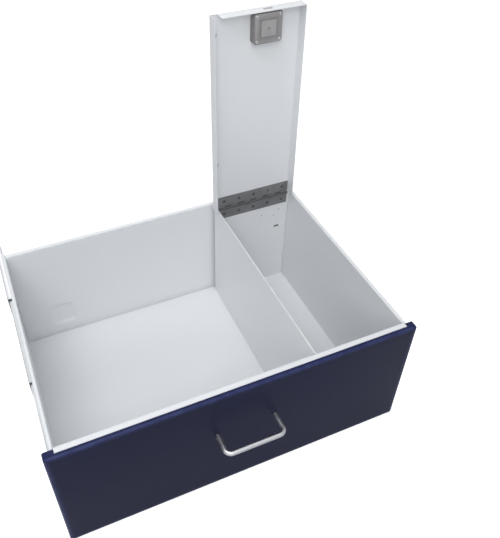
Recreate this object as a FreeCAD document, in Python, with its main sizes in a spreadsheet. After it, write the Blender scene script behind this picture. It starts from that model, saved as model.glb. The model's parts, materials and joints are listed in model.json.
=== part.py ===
import FreeCAD, Part
import Sketcher
import os
import re

# Deep drawer with a lidded lock box.
# The origin is in the middle of the cabinet's bay: X = 0 halfway between the two slides, Y = 0 in the
# plane where the drawer's front lies when it is shut, Z = 0 at that front's bottom edge.
# The drawer is drawn pulled right out and the lid is drawn standing up.

doc = FreeCAD.newDocument("LockBoxDrawer")
sheet = doc.addObject("Spreadsheet::Sheet", "Sizes")

# Driving dimensions, in millimetres and degrees
sizes = {
    # painted front panel, a hollow pan
    "front_width": 584.0,
    "front_height": 233.0,
    "front_thickness": 14.0,
    "front_edge_radius": 3.5,
    "front_lip": 20.0,
    # sheet steel and the drawer's box
    "steel": 1.2,
    "bay_gap": 2.5,
    "box_depth": 401.8,
    "box_rise": 2.3,
    "box_drop": 2.0,
    "rim_width": 6.0,
    "rim_lip": 6.0,
    "end_flange": 10.0,
    # telescopic slides
    "travel": 400.0,
    "slide_thickness": 12.7,
    "slide_length": 400.0,
    "slide_height": 45.0,
    "slide_centre": 110.0,
    "slide_steel": 1.2,
    "cage_steel": 0.5,
    "ball_radius": 1.5,
    "ball_gap": 0.1,
    "web_gap": 0.3,
    "race_lip": 1.5,
    "cabinet_flange": 9.2,
    "middle_flange": 6.5,
    "cage_length": 100.0,
    "cage_start": 8.0,
    "ball_pitch": 12.0,
    "ball_count": 8,
    "slide_hole_radius": 2.25,
    "slide_hole_spacing": 320.0,
    # wire pull
    "pull_spacing": 96.0,
    "pull_radius": 4.0,
    "pull_projection": 40.0,
    "pull_bend": 10.0,
    "pull_height": 141.0,
    "pull_thread_depth": 14.0,
    "pull_screw_spare": 2.0,
    "spacer_radius": 5.5,
    # screws and rivets
    "screw_radius": 2.0,
    "screw_head_radius": 3.6,
    "screw_head_height": 2.0,
    "rivet_radius": 1.6,
    "rivet_head_radius": 3.0,
    "rivet_head_height": 1.0,
    "hole_gap": 0.1,
    "cut_over": 1.0,
    "panel_screw_length": 4.4,
    "panel_screw_side": 40.6,
    "panel_screw_clear": 28.5,
    "panel_screw_inset": 11.0,
    "member_screw_first": 23.0,
    "member_screw_pitch": 120.0,
    "member_screw_last": 20.0,
    "bumper_radius": 4.0,
    "bumper_height": 2.5,
    "bumper_inset": 20.0,
    # lock box insert
    "lock_box_width": 157.0,
    "lock_box_depth": 381.0,
    "lock_box_fit": 0.3,
    "hem_width": 2.5,
    "hem_depth": 12.0,
    "floor_rivet_inset": 40.0,
    # continuous hinge
    "leaf_width": 25.4,
    "leaf_steel": 1.2,
    "hinge_pin_radius": 1.2,
    "hinge_pin_gap": 0.05,
    "knuckle_gap": 0.3,
    "knuckle_count": 11,
    "hinge_inset": 3.0,
    "hinge_end_gap": 0.6,
    "pin_rise": 0.5,
    "leaf_rivet_count": 5,
    "leaf_rivet_inset": 12.0,
    "leaf_rivet_reach": 15.0,
    # lid
    "lid_lean": 1.5,
    "lid_length": 373.0,
    "lid_overhang": 7.5,
    "lid_side_gap": 3.8,
    "lid_flange": 22.0,
    "lid_flange_start": 5.0,
    "lid_edge_gap": 0.2,
    "end_notch": 2.5,
    "lid_bumper_height": 3.0,
    "lid_bumper_first": 100.0,
    "lid_bumper_pitch": 240.0,
    # lock on the lid
    "lock_inset": 95.0,
    "lock_from_end": 29.5,
    "case_width": 50.0,
    "case_height": 50.0,
    "case_depth": 16.0,
    "case_wall": 1.5,
    "case_radius": 2.5,
    "case_screw_spacing": 40.0,
    "case_screw_radius": 1.5,
    "case_screw_head": 2.6,
    "plug_radius": 7.0,
    "plug_gap": 0.05,
    "plug_back": 3.0,
    "plug_proud": 0.6,
    "housing_radius": 9.0,
    "housing_flange_radius": 12.0,
    "housing_flange": 1.5,
    "housing_back": 2.4,
    "nut_width": 13.0,
    "nut_height": 2.4,
    "keyway_width": 1.6,
    "keyway_height": 7.0,
    "keyway_depth": 4.0,
    "cam_steel": 1.6,
    "cam_radius": 6.0,
    "cam_arm": 12.0,
    "cam_arm_width": 5.0,
    "cam_pin_radius": 1.5,
    "cam_pin_length": 3.4,
    "spindle_radius": 2.0,
    "spindle_slot": 1.0,
    "spindle_slot_depth": 1.0,
    "bolt_throw": 12.0,
    "bolt_width": 14.0,
    "bolt_thickness": 5.6,
    "bolt_bar": 22.5,
    "bolt_setback": 0.5,
    "bolt_cam_gap": 0.4,
    "tail_thickness": 2.4,
    "tail_margin": 3.2,
    "tail_overlap": 2.0,
    "window_gap": 0.4,
    "pin_rise_in_window": 2.6,
    "slot_gap": 1.0,
}

# Places worked out from the driving dimensions
places = {
    "bay_half": "front_width / 2 + bay_gap",
    "wall_out": "bay_half - slide_thickness",
    "wall_in": "wall_out - steel",
    "front_face": "0 - travel",
    "front_back": "front_thickness - travel",
    "front_in": "front_back + steel",
    "back_in": "front_back + box_depth",
    "back_out": "back_in + steel",
    "tray_end": "back_out + end_flange",
    "floor_top": "box_rise + steel",
    "box_top": "front_height - box_drop",
    "rim_in": "wall_out - rim_width",
    "rim_low": "box_top - rim_lip",
    "lock_right": "rim_in - lock_box_fit",
    "lock_left": "lock_right - lock_box_width",
    "lock_front_out": "front_in + lock_box_fit",
    "lock_front_in": "lock_front_out + steel",
    "lock_back_in": "lock_front_out + lock_box_depth",
    "lock_back_out": "lock_back_in + steel",
    "lock_end": "lock_back_out + end_flange",
    "lock_floor_top": "floor_top + steel",
    "knuckle_radius": "hinge_pin_radius + hinge_pin_gap + leaf_steel",
    "pin_back": "lock_back_in - knuckle_gap - knuckle_radius",
    "pin_height": "box_top + pin_rise",
    "lid_left": "lock_left - lid_overhang",
    "lid_right": "lock_right - steel - lid_side_gap",
    "hinge_left": "lock_left + hinge_inset",
    "hinge_right": "lid_right - steel - hinge_end_gap",
    "knuckle_pitch": "(hinge_right - hinge_left) / knuckle_count",
    "lid_face": "knuckle_gap + knuckle_radius",
    "lid_back": "lid_face + steel",
    "lid_low": "lid_edge_gap - pin_rise",
    "lid_lip": "lid_back - lid_flange",
    "end_left": "lock_left + hem_width + end_notch",
    "lock_middle": "lid_left + lock_inset",
    "lock_up": "lid_length - lock_from_end",
    "case_front": "lid_face - case_depth",
    "case_in": "case_front + case_wall",
    "cam_back": "0 - plug_back",
    "cam_front": "cam_back - cam_steel",
    "tail_back": "cam_front - bolt_cam_gap",
    "bolt_front": "tail_back - bolt_thickness",
    "bolt_tip": "lid_length - bolt_setback",
    "bolt_foot": "bolt_tip - bolt_bar",
    "slide_start": "back_out",
    "slide_half": "slide_height / 2",
    "race_room": "ball_radius * 2 + ball_gap * 2",
    "middle_half": "slide_half - slide_steel - race_room",
    "drawer_half": "middle_half - slide_steel - race_room",
    "cabinet_web": "bay_half - slide_steel",
    "outer_cage_web": "cabinet_web - web_gap - cage_steel",
    "middle_web": "outer_cage_web - web_gap - slide_steel",
    "inner_cage_web": "middle_web - web_gap - cage_steel",
    "drawer_tip": "inner_cage_web - web_gap",
    "screw_hole": "screw_radius + hole_gap",
    "rivet_hole": "rivet_radius + hole_gap",
    "case_screw_hole": "case_screw_radius + hole_gap",
    "sheet_drill": "steel + cut_over * 2",
    "leaf_drill": "leaf_steel + cut_over * 2",
    "slide_drill": "slide_steel + cut_over * 2",
    "case_drill": "case_wall + cut_over * 2",
}

row = 0
for word, size in sizes.items():
    row += 1
    sheet.set("A%d" % row, word)
    sheet.set("B%d" % row, str(size))
    sheet.setAlias("B%d" % row, word)
doc.recompute()

nodes = {}


def spell(text):
    """Turn a formula in named sizes and places into an expression on the sheet."""
    def one(found):
        word = found.group(0)
        if word in sizes:
            return "Sizes." + word
        return "(" + spell(places[word]) + ")"
    return re.sub(r"[a-z][a-z_]+", one, str(text))


def number(text):
    """The present value of a formula, read through a cell of its own."""
    sheet.set("D1", "=" + spell(text).replace("Sizes.", ""))
    sheet.recompute()
    return float(sheet.get("D1"))


def move_to(thing, spot):
    for axis, text in zip("xyz", spot):
        thing.setExpression("Placement.Base." + axis, spell(text))


def block(label, wide, deep, high):
    """A box between two formulas on each axis."""
    thing = doc.addObject("Part::Box", label)
    for side, ends in zip(("Length", "Width", "Height"), (wide, deep, high)):
        thing.setExpression(side, spell("(%s) - (%s)" % (ends[1], ends[0])))
    move_to(thing, (wide[0], deep[0], high[0]))
    return thing


TURNS = {
    "+x": FreeCAD.Rotation(FreeCAD.Vector(0, 1, 0), 90),
    "-x": FreeCAD.Rotation(FreeCAD.Vector(0, 1, 0), -90),
    "+y": FreeCAD.Rotation(FreeCAD.Vector(1, 0, 0), -90),
    "-y": FreeCAD.Rotation(FreeCAD.Vector(1, 0, 0), 90),
    "+z": FreeCAD.Rotation(),
    "-z": FreeCAD.Rotation(FreeCAD.Vector(1, 0, 0), 180),
}


def rod(label, way, radius, length, spot):
    """A cylinder that starts at a spot and runs one way along an axis."""
    thing = doc.addObject("Part::Cylinder", label)
    thing.setExpression("Radius", spell(radius))
    thing.setExpression("Height", spell(length))
    thing.Placement.Rotation = TURNS[way]
    move_to(thing, spot)
    return thing


def dome(label, way, radius, length, spot):
    """A low fastener head: a cone that narrows to three quarters of its radius."""
    thing = doc.addObject("Part::Cone", label)
    thing.setExpression("Radius1", spell(radius))
    thing.setExpression("Radius2", spell("(%s) * 0.75" % radius))
    thing.setExpression("Height", spell(length))
    thing.Placement.Rotation = TURNS[way]
    move_to(thing, spot)
    return thing


def join(label, things):
    thing = doc.addObject("Part::MultiFuse", label)
    thing.Shapes = things
    thing.Refine = True
    return thing


def cut(label, base, tools):
    tool = tools[0]
    if len(tools) > 1:
        tool = doc.addObject("Part::Compound", label + "_tools")
        tool.Links = tools
    thing = doc.addObject("Part::Cut", label)
    thing.Base = base
    thing.Tool = tool
    thing.Refine = True
    return thing


def group(label, things):
    thing = doc.addObject("Part::Compound", label)
    thing.Links = things
    return thing


def node(name, thing):
    thing.Label = name
    nodes[name] = thing
    return thing


def section(label, plane, points, start, length):
    """A body padded from a sketch whose corners are formulas; start is its place along the pad."""
    body = doc.addObject("PartDesign::Body", label)
    sketch = body.newObject("Sketcher::SketchObject", label + "_sketch")
    base = [one for one in body.Origin.OriginFeatures if one.Role == plane][0]
    sketch.AttachmentSupport = [(base, "")]
    sketch.MapMode = "FlatFace"
    spots = [(number(a), number(b)) for a, b in points]
    count = len(points)
    for at in range(count):
        here = FreeCAD.Vector(spots[at][0], spots[at][1], 0)
        there = FreeCAD.Vector(spots[(at + 1) % count][0], spots[(at + 1) % count][1], 0)
        sketch.addGeometry(Part.LineSegment(here, there), False)
    for at in range(count):
        sketch.addConstraint(Sketcher.Constraint("Coincident", at, 2, (at + 1) % count, 1))
    for at in range(count):
        for kind, value, text in zip(("DistanceX", "DistanceY"), spots[at], points[at]):
            line = sketch.addConstraint(Sketcher.Constraint(kind, at, 1, value))
            sketch.setExpression("Constraints[%d]" % line, spell(text))
    pad = body.newObject("PartDesign::Pad", label + "_pad")
    pad.Profile = sketch
    pad.setExpression("Length", spell(length))
    pad.Reversed = plane == "XZ_Plane"
    body.Tip = pad
    along = {"XZ_Plane": "y", "XY_Plane": "z", "YZ_Plane": "x"}[plane]
    body.setExpression("Placement.Base." + along, spell(start))
    return body


HAIR = 0.01


def edge_names(thing, test):
    """Numbers of the edges whose middle point passes a test; HAIR tells two faces apart."""
    doc.recompute()
    found = []
    for at, edge in enumerate(thing.Shape.Edges):
        middle = edge.valueAt((edge.FirstParameter + edge.LastParameter) / 2)
        if test(middle, thing.Shape.BoundBox):
            found.append(at + 1)
    return found


def rounded(label, base, radius, test):
    """A boolean or primitive with the tested edges rounded."""
    size = number(radius)
    thing = doc.addObject("Part::Fillet", label)
    thing.Base = base
    thing.Edges = [(at, size, size) for at in edge_names(base, test)]
    return thing


def flip(ends, side):
    """A range of X on the right, or its mirror image on the left."""
    if side == "right":
        return ends
    return ("0 - (%s)" % ends[1], "0 - (%s)" % ends[0])


def flip_points(points, side):
    if side == "right":
        return points
    return [("0 - (%s)" % a, b) for a, b in points]


def signed(text, side):
    return text if side == "right" else "0 - (%s)" % text


# Drawer tray: floor and side walls folded from one sheet, the walls' tops folded into a rim
tray_half = [
    ("wall_out", "box_rise"),
    ("wall_out", "box_top"),
    ("rim_in", "box_top"),
    ("rim_in", "rim_low"),
    ("rim_in + steel", "rim_low"),
    ("rim_in + steel", "box_top - steel"),
    ("wall_in", "box_top - steel"),
    ("wall_in", "floor_top"),
]
tray_points = tray_half + [("0 - (%s)" % a, b) for a, b in reversed(tray_half)]
tray = section("tray_sheet", "XZ_Plane", tray_points, "front_back", "tray_end - front_back")

member_screw_spots = ["front_back + member_screw_first + member_screw_pitch * %d" % at for at in range(3)]
member_screw_spots.append("back_out - member_screw_last")
tray_holes = []
for side in ("left", "right"):
    for at, along in enumerate(member_screw_spots):
        spot = (signed("wall_in - cut_over", side), along, "slide_centre")
        way = "+x" if side == "right" else "-x"
        hole = rod("tray_hole_%s_%d" % (side, at), way, "screw_hole", "sheet_drill", spot)
        tray_holes.append(hole)
floor_rivet_spots = []
for across in ("lock_left + floor_rivet_inset", "lock_right - floor_rivet_inset"):
    for along in ("lock_front_in + floor_rivet_inset", "lock_back_in - floor_rivet_inset"):
        floor_rivet_spots.append((across, along))
for at, (across, along) in enumerate(floor_rivet_spots):
    spot = (across, along, "box_rise - cut_over")
    tray_holes.append(rod("tray_floor_hole_%d" % at, "+z", "rivet_hole", "sheet_drill", spot))
node("drawer_tray", cut("tray_drilled", tray, tray_holes))

# Drawer back: a panel between the side walls, its flanges turned rearward and welded to them
back_parts = [
    block("back_web_low", ("0 - wall_in", "wall_in"), ("back_in", "back_out"), ("floor_top", "rim_low")),
    block("back_web_top", ("0 - rim_in", "rim_in"), ("back_in", "back_out"), ("rim_low", "box_top")),
    block("back_floor_flange", ("0 - wall_in", "wall_in"), ("back_in", "tray_end"),
          ("floor_top", "floor_top + steel")),
    block("back_rim", ("0 - rim_in", "rim_in"), ("back_in", "back_out + rim_width"),
          ("box_top - steel", "box_top")),
]
for side in ("left", "right"):
    across = flip(("wall_in - steel", "wall_in"), side)
    back_parts.append(block("back_flange_" + side, across, ("back_in", "tray_end"), ("floor_top", "rim_low")))
node("drawer_back", join("back_joined", back_parts))

# Inner front wall: the same, its side flanges turned rearward; a slot lets the lid's bolt through
front_parts = [
    block("inner_web_low", ("0 - wall_in", "wall_in"), ("front_back", "front_in"), ("floor_top", "rim_low")),
    block("inner_web_top", ("0 - rim_in", "rim_in"), ("front_back", "front_in"), ("rim_low", "box_top")),
]
for side in ("left", "right"):
    across = flip(("wall_in - steel", "wall_in"), side)
    along = ("front_back", "front_in + end_flange")
    front_parts.append(block("inner_flange_" + side, across, along, ("floor_top", "rim_low")))
inner_front = join("inner_front_joined", front_parts)


strike_span = ("lock_middle - bolt_width / 2 - slot_gap", "lock_middle + bolt_width / 2 + slot_gap")


def strike_slot(label):
    """The room that the thrown bolt needs in the sheets at the front."""
    high = ("pin_height + bolt_front - slot_gap", "pin_height + tail_back + slot_gap")
    return block(label, strike_span, ("front_back - steel - cut_over", "lock_front_in + cut_over"), high)


panel_screw_spots = []
panel_screw_ends = ("panel_screw_side - wall_in", "lock_left - panel_screw_clear")
for high in ("panel_screw_inset", "front_height - panel_screw_inset"):
    for across in (panel_screw_ends[0], "(%s + %s) / 2" % panel_screw_ends, panel_screw_ends[1]):
        panel_screw_spots.append((across, high))


def front_holes(prefix, wide_radius):
    """Holes for the panel's screws and for the pull's screws, through the sheets at the front."""
    holes = []
    for at, (across, high) in enumerate(panel_screw_spots):
        spot = (across, "front_in + cut_over", high)
        name = "%s_screw_hole_%d" % (prefix, at)
        holes.append(rod(name, "-y", "screw_hole", "steel * 2 + cut_over * 2", spot))
    for side in ("left", "right"):
        spot = (signed("pull_spacing / 2", side), "front_in + cut_over", "pull_height")
        name = "%s_pull_hole_%s" % (prefix, side)
        holes.append(rod(name, "-y", wide_radius, "front_thickness + steel + cut_over * 2", spot))
    return holes


inner_tools = front_holes("inner", "screw_hole") + [strike_slot("inner_strike")]
node("drawer_inner_front", cut("inner_front_cut", inner_front, inner_tools))

# Front panel: a pan with rounded front edges and a lip all round its open back
front_span = ("0 - front_width / 2", "front_width / 2")
front_outer = block("front_outer", front_span, ("front_face", "front_back"), ("0", "front_height"))
front_round = rounded("front_round", front_outer, "front_edge_radius",
                      lambda point, box: point.y < box.YMin + HAIR)
hollow = block("front_hollow", ("steel - front_width / 2", "front_width / 2 - steel"),
               ("front_face + steel", "front_back - steel"), ("steel", "front_height - steel"))
hollow_round = rounded("front_hollow_round", hollow, "front_edge_radius - steel",
                       lambda point, box: point.y < box.YMin + HAIR)
window = block("front_window", ("front_lip - front_width / 2", "front_width / 2 - front_lip"),
               ("front_back - steel * 2", "front_back + cut_over"), ("front_lip", "front_height - front_lip"))
panel_tools = front_holes("panel", "screw_hole")
panel_tools += [strike_slot("panel_strike")]
panel = cut("front_hollowed", front_round, [hollow_round])
panel = cut("front_opened", panel, [window])
node("front_panel", cut("front_drilled", panel, panel_tools))


def screw(label, way, spot, length, radius, head_radius, head_height, other):
    """A screw whose head sits on the spot and whose shank runs the given way."""
    shank = rod(label + "_shank", way, radius, length, spot)
    head = dome(label + "_head", other, head_radius, head_height, spot)
    return join(label, [shank, head])


screws = []
for at, (across, high) in enumerate(panel_screw_spots):
    screws.append(screw("panel_screw_%d" % at, "-y", (across, "front_in", high), "panel_screw_length",
                        "screw_radius", "screw_head_radius", "screw_head_height", "+y"))
node("front_panel_screws", group("panel_screws", screws))

# Rubber buttons on the back of the front panel, outside the box, which meet the cabinet's frame
bumpers = []
for side in ("left", "right"):
    for at, high in enumerate(("bumper_inset", "front_height - bumper_inset")):
        spot = (signed("(wall_out + front_width / 2) / 2", side), "front_back", high)
        bumpers.append(dome("front_bumper_%s_%d" % (side, at), "+y", "bumper_radius", "bumper_height", spot))
node("front_bumpers", group("front_bumper_set", bumpers))

# Wire pull: two feet, two bends and a grip, tapped for its screws
pull_parts = []
pull_tools = []
foot_length = "pull_projection - pull_bend - pull_radius"
for side in ("left", "right"):
    foot = (signed("pull_spacing / 2", side), "front_face", "pull_height")
    pull_parts.append(rod("pull_foot_" + side, "-y", "pull_radius", foot_length, foot))
    bend = doc.addObject("Part::Torus", "pull_bend_" + side)
    bend.setExpression("Radius1", spell("pull_bend"))
    bend.setExpression("Radius2", spell("pull_radius"))
    bend.Angle3 = 90
    quarter = -90 if side == "right" else 180
    bend.Placement.Rotation = FreeCAD.Rotation(FreeCAD.Vector(0, 0, 1), quarter)
    move_to(bend, (signed("pull_spacing / 2 - pull_bend", side),
                   "front_face - (%s)" % foot_length, "pull_height"))
    pull_parts.append(bend)
    pull_tools.append(rod("pull_thread_" + side, "-y", "screw_hole",
                          "pull_thread_depth + cut_over", (foot[0], "front_face + cut_over", "pull_height")))
grip_start = ("pull_bend - pull_spacing / 2", "front_face - (%s) - pull_bend" % foot_length, "pull_height")
pull_parts.append(rod("pull_grip", "+x", "pull_radius", "pull_spacing - pull_bend * 2", grip_start))
node("drawer_pull", cut("pull_tapped", join("pull_wire", pull_parts), pull_tools))

# Pull screws from inside the drawer, and the sleeves that keep the hollow panel from being crushed
screws = []
sleeves = []
for side in ("left", "right"):
    across = signed("pull_spacing / 2", side)
    screws.append(screw("pull_screw_" + side, "-y", (across, "front_in", "pull_height"),
                        "front_thickness + steel + pull_thread_depth - pull_screw_spare", "screw_radius",
                        "screw_head_radius", "screw_head_height", "+y"))
    sleeve_length = "front_thickness - steel"
    seat = (across, "front_back", "pull_height")
    sleeve = rod("sleeve_" + side, "-y", "spacer_radius", sleeve_length, seat)
    bore = rod("sleeve_bore_" + side, "-y", "screw_hole", sleeve_length + " + cut_over * 2",
               (across, "front_back + cut_over", "pull_height"))
    sleeves.append(cut("sleeve_bored_" + side, sleeve, [bore]))
node("pull_screws", group("pull_screw_pair", screws))
node("pull_spacers", group("pull_sleeve_pair", sleeves))

# Telescopic slides: a channel on the cabinet, a channel between, a channel on the drawer,
# with a caged row of balls above and below between each two
member_screws = []
for side in ("left", "right"):
    cabinet_points = [
        ("bay_half", "0 - slide_half"),
        ("bay_half", "slide_half"),
        ("bay_half - cabinet_flange", "slide_half"),
        ("bay_half - cabinet_flange", "slide_half - slide_steel - race_lip"),
        ("bay_half - cabinet_flange + slide_steel", "slide_half - slide_steel - race_lip"),
        ("bay_half - cabinet_flange + slide_steel", "slide_half - slide_steel"),
        ("cabinet_web", "slide_half - slide_steel"),
        ("cabinet_web", "slide_steel - slide_half"),
        ("bay_half - cabinet_flange + slide_steel", "slide_steel - slide_half"),
        ("bay_half - cabinet_flange + slide_steel", "slide_steel + race_lip - slide_half"),
        ("bay_half - cabinet_flange", "slide_steel + race_lip - slide_half"),
        ("bay_half - cabinet_flange", "0 - slide_half"),
    ]
    cabinet_points = [(a, "slide_centre + (%s)" % b) for a, b in cabinet_points]
    member = section("cabinet_channel_" + side, "XZ_Plane", flip_points(cabinet_points, side),
                     "slide_start", "slide_length")
    holes = []
    for at, sign in enumerate(("-", "+")):
        along = "slide_start + slide_length / 2 %s slide_hole_spacing / 2" % sign
        spot = (signed("cabinet_web - cut_over", side), along, "slide_centre")
        way = "+x" if side == "right" else "-x"
        holes.append(rod("slide_hole_%s_%d" % (side, at), way, "slide_hole_radius", "slide_drill", spot))
    node(side + "_cabinet_member", cut("cabinet_drilled_" + side, member, holes))

    middle_points = [
        ("middle_web + slide_steel", "0 - middle_half"),
        ("middle_web + slide_steel", "middle_half"),
        ("middle_web - middle_flange", "middle_half"),
        ("middle_web - middle_flange", "middle_half - slide_steel"),
        ("middle_web", "middle_half - slide_steel"),
        ("middle_web", "slide_steel - middle_half"),
        ("middle_web - middle_flange", "slide_steel - middle_half"),
        ("middle_web - middle_flange", "0 - middle_half"),
    ]
    middle_points = [(a, "slide_centre + (%s)" % b) for a, b in middle_points]
    node(side + "_intermediate_member", section("middle_channel_" + side, "XZ_Plane",
         flip_points(middle_points, side), "slide_start - travel / 2", "slide_length"))

    drawer_points = [
        ("wall_out", "0 - drawer_half"),
        ("drawer_tip", "0 - drawer_half"),
        ("drawer_tip", "slide_steel - drawer_half"),
        ("wall_out + slide_steel", "slide_steel - drawer_half"),
        ("wall_out + slide_steel", "drawer_half - slide_steel"),
        ("drawer_tip", "drawer_half - slide_steel"),
        ("drawer_tip", "drawer_half"),
        ("wall_out", "drawer_half"),
    ]
    drawer_points = [(a, "slide_centre + (%s)" % b) for a, b in drawer_points]
    member = section("drawer_channel_" + side, "XZ_Plane", flip_points(drawer_points, side),
                     "slide_start - travel", "slide_length")
    holes = []
    inward, outward = ("-x", "+x") if side == "right" else ("+x", "-x")
    for at, along in enumerate(member_screw_spots):
        spot = (signed("wall_out - cut_over", side), along, "slide_centre")
        holes.append(rod("member_hole_%s_%d" % (side, at), outward, "screw_hole",
                         "slide_drill", spot))
        seat = (signed("wall_out + slide_steel", side), along, "slide_centre")
        member_screws.append(screw("member_screw_%s_%d" % (side, at), inward, seat, "slide_steel + steel",
                                   "screw_radius", "screw_head_radius", "screw_head_height", outward))
    node(side + "_drawer_member", cut("drawer_channel_drilled_" + side, member, holes))

    cages = {
        "outer": ("outer_cage_web", "cabinet_flange - slide_steel * 2 - web_gap * 2 - cage_steel",
                  "middle_half + race_room / 2", "slide_start + cage_start"),
        "inner": ("inner_cage_web", "middle_flange - web_gap * 2 - cage_steel",
                  "drawer_half + race_room / 2", "slide_start - cage_start - cage_length"),
    }
    for name, (web, reach, level, start) in cages.items():
        leg = "cage_steel * 0.8"
        cage_points = [
            (web + " + cage_steel", "0 - (%s) - %s" % (level, leg)),
            (web + " + cage_steel", "(%s) + %s" % (level, leg)),
            (web + " - (%s)" % reach, "(%s) + %s" % (level, leg)),
            (web + " - (%s)" % reach, "(%s) - %s" % (level, leg)),
            (web, "(%s) - %s" % (level, leg)),
            (web, "%s - (%s)" % (leg, level)),
            (web + " - (%s)" % reach, "%s - (%s)" % (leg, level)),
            (web + " - (%s)" % reach, "0 - (%s) - %s" % (level, leg)),
        ]
        cage_points = [(a, "slide_centre + (%s)" % b) for a, b in cage_points]
        cage = section("%s_cage_strip_%s" % (name, side), "XZ_Plane", flip_points(cage_points, side),
                       start, "cage_length")
        pockets = []
        balls = []
        for sign in ("+", "-"):
            for at in range(int(sizes["ball_count"])):
                across = signed("%s - (%s) / 2" % (web, reach), side)
                along = "(%s) + cage_length / 2 + ball_pitch * (%d - (ball_count - 1) / 2)" % (start, at)
                high = "slide_centre %s (%s)" % (sign, level)
                tail = "%s_%s_%s%d" % (name, side, "top" if sign == "+" else "low", at)
                ball = doc.addObject("Part::Sphere", "ball_" + tail)
                ball.setExpression("Radius", spell("ball_radius"))
                move_to(ball, (across, along, high))
                balls.append(ball)
                pockets.append(rod("pocket_" + tail, "+z", "ball_radius + ball_gap", "cage_steel * 4",
                                   (across, along, high + " - cage_steel * 2")))
        node("%s_%s_ball_cage" % (side, name), cut("%s_cage_%s" % (name, side), cage, pockets))
        node("%s_%s_balls" % (side, name), group("%s_ball_set_%s" % (name, side), balls))
node("drawer_member_screws", group("member_screw_set", member_screws))

# Lock box insert: floor and side walls in one sheet, the left wall's top hemmed double
shell_points = [
    ("lock_left", "floor_top"),
    ("lock_right", "floor_top"),
    ("lock_right", "box_top"),
    ("lock_right - steel", "box_top"),
    ("lock_right - steel", "lock_floor_top"),
    ("lock_left + steel", "lock_floor_top"),
    ("lock_left + steel", "box_top - hem_depth"),
    ("lock_left + hem_width", "box_top - hem_depth"),
    ("lock_left + hem_width", "box_top"),
    ("lock_left", "box_top"),
]
shell = section("lock_sheet", "XZ_Plane", shell_points, "lock_front_out", "lock_end - lock_front_out")
shell_holes = []
for at, (across, along) in enumerate(floor_rivet_spots):
    spot = (across, along, "floor_top - cut_over")
    shell_holes.append(rod("lock_floor_hole_%d" % at, "+z", "rivet_hole", "sheet_drill", spot))
node("lock_box_shell", cut("lock_sheet_drilled", shell, shell_holes))


def rivet(label, way, other, spot, grip):
    """A rivet through a grip of sheet, with a low head at each end."""
    shank = rod(label + "_shank", way, "rivet_radius", grip, spot)
    head = dome(label + "_head", other, "rivet_head_radius", "rivet_head_height", spot)
    far = list(spot)
    axis = "xyz".index(way[1])
    far[axis] = "(%s) %s (%s)" % (far[axis], way[0], grip)
    tail = dome(label + "_tail", way, "rivet_head_radius", "rivet_head_height", far)
    return join(label, [shank, head, tail])


rivets = []
for at, (across, along) in enumerate(floor_rivet_spots):
    rivets.append(rivet("floor_rivet_%d" % at, "-z", "+z", (across, along, "lock_floor_top"), "steel * 2"))
node("lock_box_floor_rivets", group("floor_rivet_set", rivets))

# Lock box back: a panel between the insert's walls, flanges and rim turned rearward;
# the lid's lower edge stands just above its rim
leaf_rivet_spots = []
for at in range(int(sizes["leaf_rivet_count"])):
    leaf_rivet_spots.append("hinge_left + leaf_rivet_inset + (hinge_right - hinge_left"
                            " - leaf_rivet_inset * 2) * %d / (leaf_rivet_count - 1)" % at)
inner_span = ("lock_left + steel", "lock_right - steel")
box_back_parts = [
    block("lock_back_web", inner_span, ("lock_back_in", "lock_back_out"),
          ("lock_floor_top", "box_top - hem_depth")),
    block("lock_back_top", ("lock_left + hem_width", "lock_right - steel"),
          ("lock_back_in", "lock_back_out"), ("box_top - hem_depth", "box_top")),
    block("lock_back_rim", ("lock_left + hem_width", "lock_right - steel"),
          ("lock_back_in", "lock_back_out + rim_width"), ("box_top - steel", "box_top")),
    block("lock_back_left", ("lock_left + steel", "lock_left + steel * 2"),
          ("lock_back_in", "lock_end"), ("lock_floor_top", "box_top - hem_depth")),
    block("lock_back_right", ("lock_right - steel * 2", "lock_right - steel"),
          ("lock_back_in", "lock_end"), ("lock_floor_top", "box_top - steel * 2")),
]
lock_back = join("lock_back_joined", box_back_parts)
holes = []
for at, across in enumerate(leaf_rivet_spots):
    spot = (across, "lock_back_in - cut_over", "pin_height - leaf_rivet_reach")
    holes.append(rod("lock_back_hole_%d" % at, "+y", "rivet_hole", "sheet_drill", spot))
node("lock_box_back", cut("lock_back_drilled", lock_back, holes))

# Lock box front: a panel between the insert's walls, side flanges turned rearward,
# with the slot that takes the bolt
box_front_parts = [
    block("lock_front_web", inner_span, ("lock_front_out", "lock_front_in"),
          ("lock_floor_top", "box_top - hem_depth")),
    block("lock_front_top", ("lock_left + hem_width", "lock_right - steel"),
          ("lock_front_out", "lock_front_in"), ("box_top - hem_depth", "box_top")),
    block("lock_front_left", ("lock_left + steel", "lock_left + steel * 2"),
          ("lock_front_out", "lock_front_in + end_flange"), ("lock_floor_top", "box_top - hem_depth")),
    block("lock_front_right", ("lock_right - steel * 2", "lock_right - steel"),
          ("lock_front_out", "lock_front_in + end_flange"), ("lock_floor_top", "box_top - hem_depth")),
]
lock_front = join("lock_front_joined", box_front_parts)
node("lock_box_front", cut("lock_front_slotted", lock_front, [strike_slot("lock_front_strike")]))

# Continuous hinge. Its pin is the line that everything on the lid is drawn from:
# lid pieces have Y = 0 and Z = 0 on the pin and are then set on it, leaning back against their stop.
leaf_low = "pin_height - leaf_width"
leaf_span = ("hinge_left", "hinge_right")
pin_clear = "knuckle_radius + knuckle_gap"


def hang(thing):
    """Set a piece that is drawn from the hinge pin on the pin, leaning back."""
    thing.Placement.Rotation = FreeCAD.Rotation(FreeCAD.Vector(1, 0, 0), -1)
    thing.setExpression("Placement.Rotation.Angle", spell("0 - lid_lean"))
    thing.setExpression("Placement.Base.y", spell("pin_back"))
    thing.setExpression("Placement.Base.z", spell("pin_height"))
    return thing


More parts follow.
